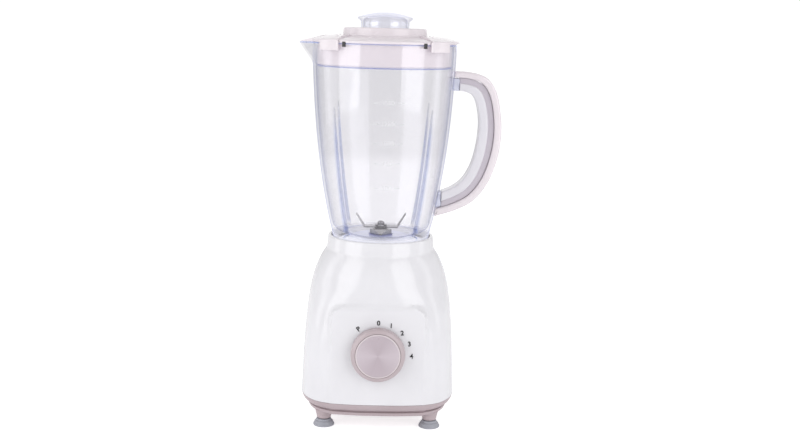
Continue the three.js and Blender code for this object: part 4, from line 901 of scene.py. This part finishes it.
def makeBladeFixing():
    # a small domed nut, and the spindle that ends inside it
    size = bladeFixing
    nutLow, nutHigh = extent("blade_nut")
    shaftLow, shaftHigh = extent("blade_shaft")
    radius, shaft = (nutHigh.x - nutLow.x) / 2 * size["share"], (shaftHigh.x - shaftLow.x) / 2
    flats = [(radius * cos(pi * i / 3), radius * sin(pi * i / 3)) for i in range(6)]
    bm = slab(flats, nutLow.z, nutLow.z + size["hex"], 0.3)
    top = nutLow.z + size["hex"] - 0.1
    dome = arc((radius * 0.8, top), (radius * 0.75, top + size["dome"]), (0, top + size["dome"]))
    added(bm, turned([(0, top), *dome], 48, closed=False))
    piece(bm, "blade_cap_nut", "blades", steel, ["blade_nut"])
    outline = [(0, shaftLow.z), (shaft, shaftLow.z, size["chamfer"]), (shaft, nutLow.z + 1),
               (0, nutLow.z + 1)]
    spindle = turned(outline, 48, closed=False)
    piece(spindle, "blade_spindle", "blades", shaftSteel, ["blade_shaft"])


makeJar()
makeGraduations()
makeLugs()
makeHandle()
makeBladeFixing()
print("jug and handle made")


# the lid and the measuring cap
lid = dict(skirtDepth=21.5, skirtWall=2.2, skirtRoom=4.8, edge=3.2, slope=3.4, bossInset=29.7, plate=2.4,
           hole=24.4, ledge=2.4, ledgeDrop=12, wingRise=8, wingFall=4.6, wingNear=36.3, wingFar=52.5,
           tabDrop=6.8, tabWall=1.8, tabs=(32, 53), markReach=58, markTurn=38, tongueInset=2.4, steps=192)
# the dark blocks below paint the shadow in the slots beside the lid's tabs
slotShadows = dict(turns=(57.5, 122.5, 237.5, 302.5), halfWidth=1.7, depth=1.0, proud=0.55, drop=3.4, rise=1.6)
bossTop = extent("lid")[1].z


def sector(radius, start, stop, count=16):
    # points round part of a circle, in degrees
    return [(radius * cos(radians(start + (stop - start) * i / count)),
             radius * sin(radians(start + (stop - start) * i / count))) for i in range(count + 1)]


def makeLid():
    size = lid
    skirt, boss = rimRadius - size["skirtRoom"], rimRadius - size["bossInset"]
    skirtBottom, under = rimTop - size["skirtDepth"], rimTop + 0.3
    edgeTop = under + size["edge"]
    slopeTop = edgeTop + size["slope"]
    ledge = bossTop - size["ledgeDrop"]
    hole, plate = size["hole"], size["plate"]
    outline = [
        (skirt - 1, skirtBottom, 0.4), (skirt, skirtBottom + 1, 0.4), (skirt, under),
        (rimRadius, under, 0.5), (rimRadius, edgeTop - 1.2, 1.0), (rimRadius - 1.6, edgeTop + 0.1, 1.0),
        (boss + 1.0, slopeTop, 1.0),
        (boss + 0.2, slopeTop + 1.6, 0.6), (boss - 0.4, bossTop - 0.8, 0.9), (boss - 1.8, bossTop, 0.9),
        (hole, bossTop, 0.5), (hole, ledge, 0.3), (hole - size["ledge"], ledge, 0.3),
        (hole - size["ledge"], ledge - 2, 0.3), (hole + 1.8, ledge - 2, 0.3), (hole + 1.8, bossTop - plate),
        (boss - plate, bossTop - plate, 1.0), (boss - plate, slopeTop - plate, 1.0),
        (skirt - size["skirtWall"], under + 1), (skirt - size["skirtWall"], skirtBottom, 0.4),
    ]
    bm = turned(outline, size["steps"])
    tabIn = rimRadius + 0.5
    tabOut, wingTop = tabIn + size["tabWall"], rimTop + size["wingRise"]
    near, far = radians(size["wingNear"]), radians(size["wingFar"])
    inner, outer = Vector((cos(near), sin(near))) * boss, Vector((cos(far), sin(far))) * tabOut
    for turn in (0, 180):
        wing = turned([(boss - 3, under + 1.2), (tabOut + 0.1, under + 1.2),
                       (tabOut + 0.1, wingTop - size["wingFall"], 1.2), (tabOut - 14, wingTop - 0.8, 3),
                       (boss - 3, wingTop)], size["steps"])
        for side in (1, -1):
            across = Vector((inner.y - outer.y, side * (outer.x - inner.x), 0)).normalized()
            cutOff(wing, (inner.x, side * inner.y, 0), across)
        bmesh.ops.recalc_face_normals(wing, faces=wing.faces)
        softened(wing, 0.8, 3, 40)
        added(bm, wing, around(turn))
        for side in (1, -1):      # tabs that hang outside the jug's rim
            first, last = (side * angle for angle in size["tabs"])
            tabPlan = sector(tabOut, first, last) + sector(tabIn, last, first)
            tab = slab(tabPlan, rimTop - size["tabDrop"], under + 2.1, 0.5, 2)
            added(bm, tab, around(turn))
        for side in (1, -1):      # moulding marks on the wings
            dot = turned([(0, 0), (1.1, 0, 0.2), (1.1, 0.5, 0.2), (0.5, 0.2, 0.1), (0, 0.15)], 20,
                         closed=False)
            reach, bend = size["markReach"], radians(size["markTurn"])
            spot = (reach * cos(bend), side * reach * sin(bend), wingTop - 0.3)
            added(bm, dot, around(turn) @ Matrix.Translation(spot))
    tip, half = spoutReach - 1, jug["spoutHalf"] - size["tongueInset"]
    plan = [(-tip, -2), (-tip + 5, -5), (-rimRadius + 4, -half), (-boss, -half), (-boss, half),
            (-rimRadius + 4, half), (-tip + 5, 5), (-tip, 2)]
    tongue = slab(plan, under, wingTop - 1)      # covers the pouring lip
    cutOff(tongue, (-rimRadius + 12, 0, wingTop - 1), Vector((-6.1, 0, 24)).normalized())
    softened(tongue, 0.5, 2, 20)
    added(bm, tongue)
    piece(bm, "jug_lid", "lid", skirtCreamPaintedGlow, ["lid"], sharp=35)


def makeCatches():
    # painted shadow: the shade in the small slots beside the lid's tabs, shown as dark blocks set into its
    # edge
    size = slotShadows
    bm = bmesh.new()
    for turn in size["turns"]:
        slot = block((rimRadius - size["depth"], -size["halfWidth"], rimTop - size["drop"]),
                     (rimRadius + size["proud"], size["halfWidth"], rimTop + size["rise"]), 0.2)
        added(bm, slot, around(turn))
    piece(bm, "lid_slot_shadows", "lid", blackPlastic)


seal = dict(share=0.6, rise=0.5)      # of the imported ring's thickness, and above its middle


def makeLidGasket():
    low, high = extent("lid_gasket")
    thick = (high.z - low.z) / 2 * seal["share"]
    radius, height = high.x - thick, (low.z + high.z) / 2 + seal["rise"]
    outline = [(radius + thick * cos(pi * i / 6), height + thick * sin(pi * i / 6)) for i in range(12)]
    piece(turned(outline, 128), "lid_seal", "lid", silicone, ["lid_gasket"])


filler = dict(wall=2, neck=23.8, steps=160)


def makeCap():
    size = filler
    low, high = extent("filler_cap")
    neck, flange, wall = size["neck"], high.y, size["wall"]
    top = high.z
    flangeTop = top - 4
    outline = [
        (neck, low.z, 0.5), (neck, top - 8.6, 1.2), (flange, top - 6.2, 0.6),
        (flange, flangeTop - 0.6, 0.6), (flange - 4, flangeTop + 0.4, 1.5), (16, top - 1.6, 3),
        (8, top - 0.3, 2), (0, top),
    ]
    inner = [
        (0, top - wall), (13, top - 1.4 - wall, 2), (neck - wall - 1.5, flangeTop - wall + 0.4, 1.5),
        (neck - wall, flangeTop - wall - 1.6, 0.8), (neck - wall, low.z, 0.4),
    ]
    bm = turned(outline + inner, size["steps"], segments=5)
    piece(bm, "measuring_cap", "cap", clearCap, ["filler_cap"])


makeLid()
makeCatches()
makeLidGasket()
makeCap()
print("lid and cap made")


# finishes of the pieces that stay as they were packed
keptFinishes = {
    blackPlastic: ("speed_switch", "switch_stem", "lower_bearing_bracket", "upper_bearing_bracket",
                   "cooling_fan", "drive_coupling", "driven_coupling", "brush_holder_left",
                   "brush_holder_right"),
    shaftSteel: ("motor_shaft", "blade_shaft", "lower_bearing", "upper_bearing", "motor_screw_left",
                 "motor_screw_right", "handle_screw_upper", "handle_screw_lower", "base_screw_1",
                 "base_screw_2", "base_screw_3", "base_screw_4"),
    steel: ("lower_blade", "upper_blade", "blade_washer", "blade_nut", "lock_nut"),
    laminated: ("stator_core", "armature_core"),
    copper: ("field_coil_left", "field_coil_right", "lower_armature_winding", "upper_armature_winding"),
    brass: ("commutator", "blade_bush"),
    carbon: ("carbon_brush_left", "carbon_brush_right"),
    footGrey: ("motor_damper_left", "motor_damper_right"),
    silicone: ("jar_gasket", ),
    cream: ("blade_holder", ),
}
for finish, names in keptFinishes.items():
    for name in names:
        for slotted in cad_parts[name].material_slots:
            slotted.material = finish
print("packed pieces finished")


# floor, light and camera
studio = dict(floorRadius=12.0, floorGlow=0.2, floorSeen=0.64, worldLight=0.46, worldShine=0.65,
              worldSeen=1.05)
softboxes = (      # turn from the front, half-angle seen, distance, foot, height, power
    ("left_box", -58, 20, 1.5, -0.1, 1.9, 13),
    ("right_box", 46, 20, 1.5, -0.1, 1.9, 13),
    ("left_strip", -103, 9, 1.5, -0.1, 1.9, 3),
    ("right_strip", 97, 7, 1.5, -0.1, 1.9, 2),
    ("back_box", 180, 25, 2.2, 0.3, 2.2, 8),
)


def makeFloor():
    made = Finish("pale_floor", Emission_Strength=1.0)
    spot = made.place()
    cloud = made.noise(spot, 0.002, 3.0)
    seen = made.node("LightPath", output="Is Camera Ray") * (studio["floorSeen"] - studio["floorGlow"])
    made.wear(Emission_Color=made.blend(seen + studio["floorGlow"], (0, 0, 0, 1), (1, 1, 1, 1)))
    made.wear(Base_Color=made.blend(cloud, tone(246, 246, 247), tone(240, 240, 242)),
              Roughness=(0.55 + made.noise(spot, 0.05) * 0.2))
    bm = bmesh.new()
    bmesh.ops.create_circle(bm, cap_ends=True, segments=96, radius=studio["floorRadius"] / mm)
    mesh = meshOf(placed(bm, toFrame), "floor")
    mesh.materials.append(made.material)
    shown("floor", mesh)


def makeLights():
    for name, turn, spread, distance, foot, height, power in softboxes:
        light = bpy.data.lights.new(name, "AREA")
        light.shape, light.energy = "RECTANGLE", power
        light.size, light.size_y = 2 * distance * tan(radians(spread)), height
        lamp = shown(name, light)
        angle = radians(turn)
        away = Vector((sin(angle) * distance, -cos(angle) * distance, foot + height / 2))
        lamp.location = driveAxis + away
        aim = Vector((driveAxis.x, driveAxis.y, lamp.location.z * 0.7 + 0.06))
        lamp.rotation_euler = (aim - lamp.location).to_track_quat("-Z", "Y").to_euler()
        lamp.visible_camera = False
    world = bpy.data.worlds.new("studio")
    bpy.context.scene.world = world
    world.use_nodes = True
    tree = world.node_tree
    path = tree.nodes.new("ShaderNodeLightPath")
    seen, shine = Wire(tree, path.outputs["Is Camera Ray"]), Wire(tree, path.outputs["Is Glossy Ray"])
    strength = seen * (studio["worldSeen"] - studio["worldLight"]) + studio["worldLight"]
    strength = strength + shine * (studio["worldShine"] - studio["worldLight"])
    tree.nodes["Background"].inputs["Color"].default_value = (1, 1, 1, 1)
    feed(tree, tree.nodes["Background"].inputs["Strength"], strength)


view = dict(back=1110, height=390, aimX=19.3, aimZ=200.7, roll=1.46, lens=50.0)


def makeCamera():
    data = bpy.data.cameras.new("camera")
    data.lens, data.sensor_width = view["lens"], 36
    data.clip_end = 50
    camera = shown("camera", data)
    camera.location = toFrame @ Vector((0, -view["back"], view["height"]))
    aim = toFrame @ Vector((view["aimX"], 0, view["aimZ"]))
    turn = (aim - camera.location).to_track_quat("-Z", "Y") @ Quaternion((0, 0, 1), radians(view["roll"]))
    camera.rotation_euler = turn.to_euler()
    bpy.context.scene.camera = camera


makeFloor()
makeLights()
makeCamera()
bpy.context.scene.view_settings.view_transform = "Standard"
print("floor, light and camera set")
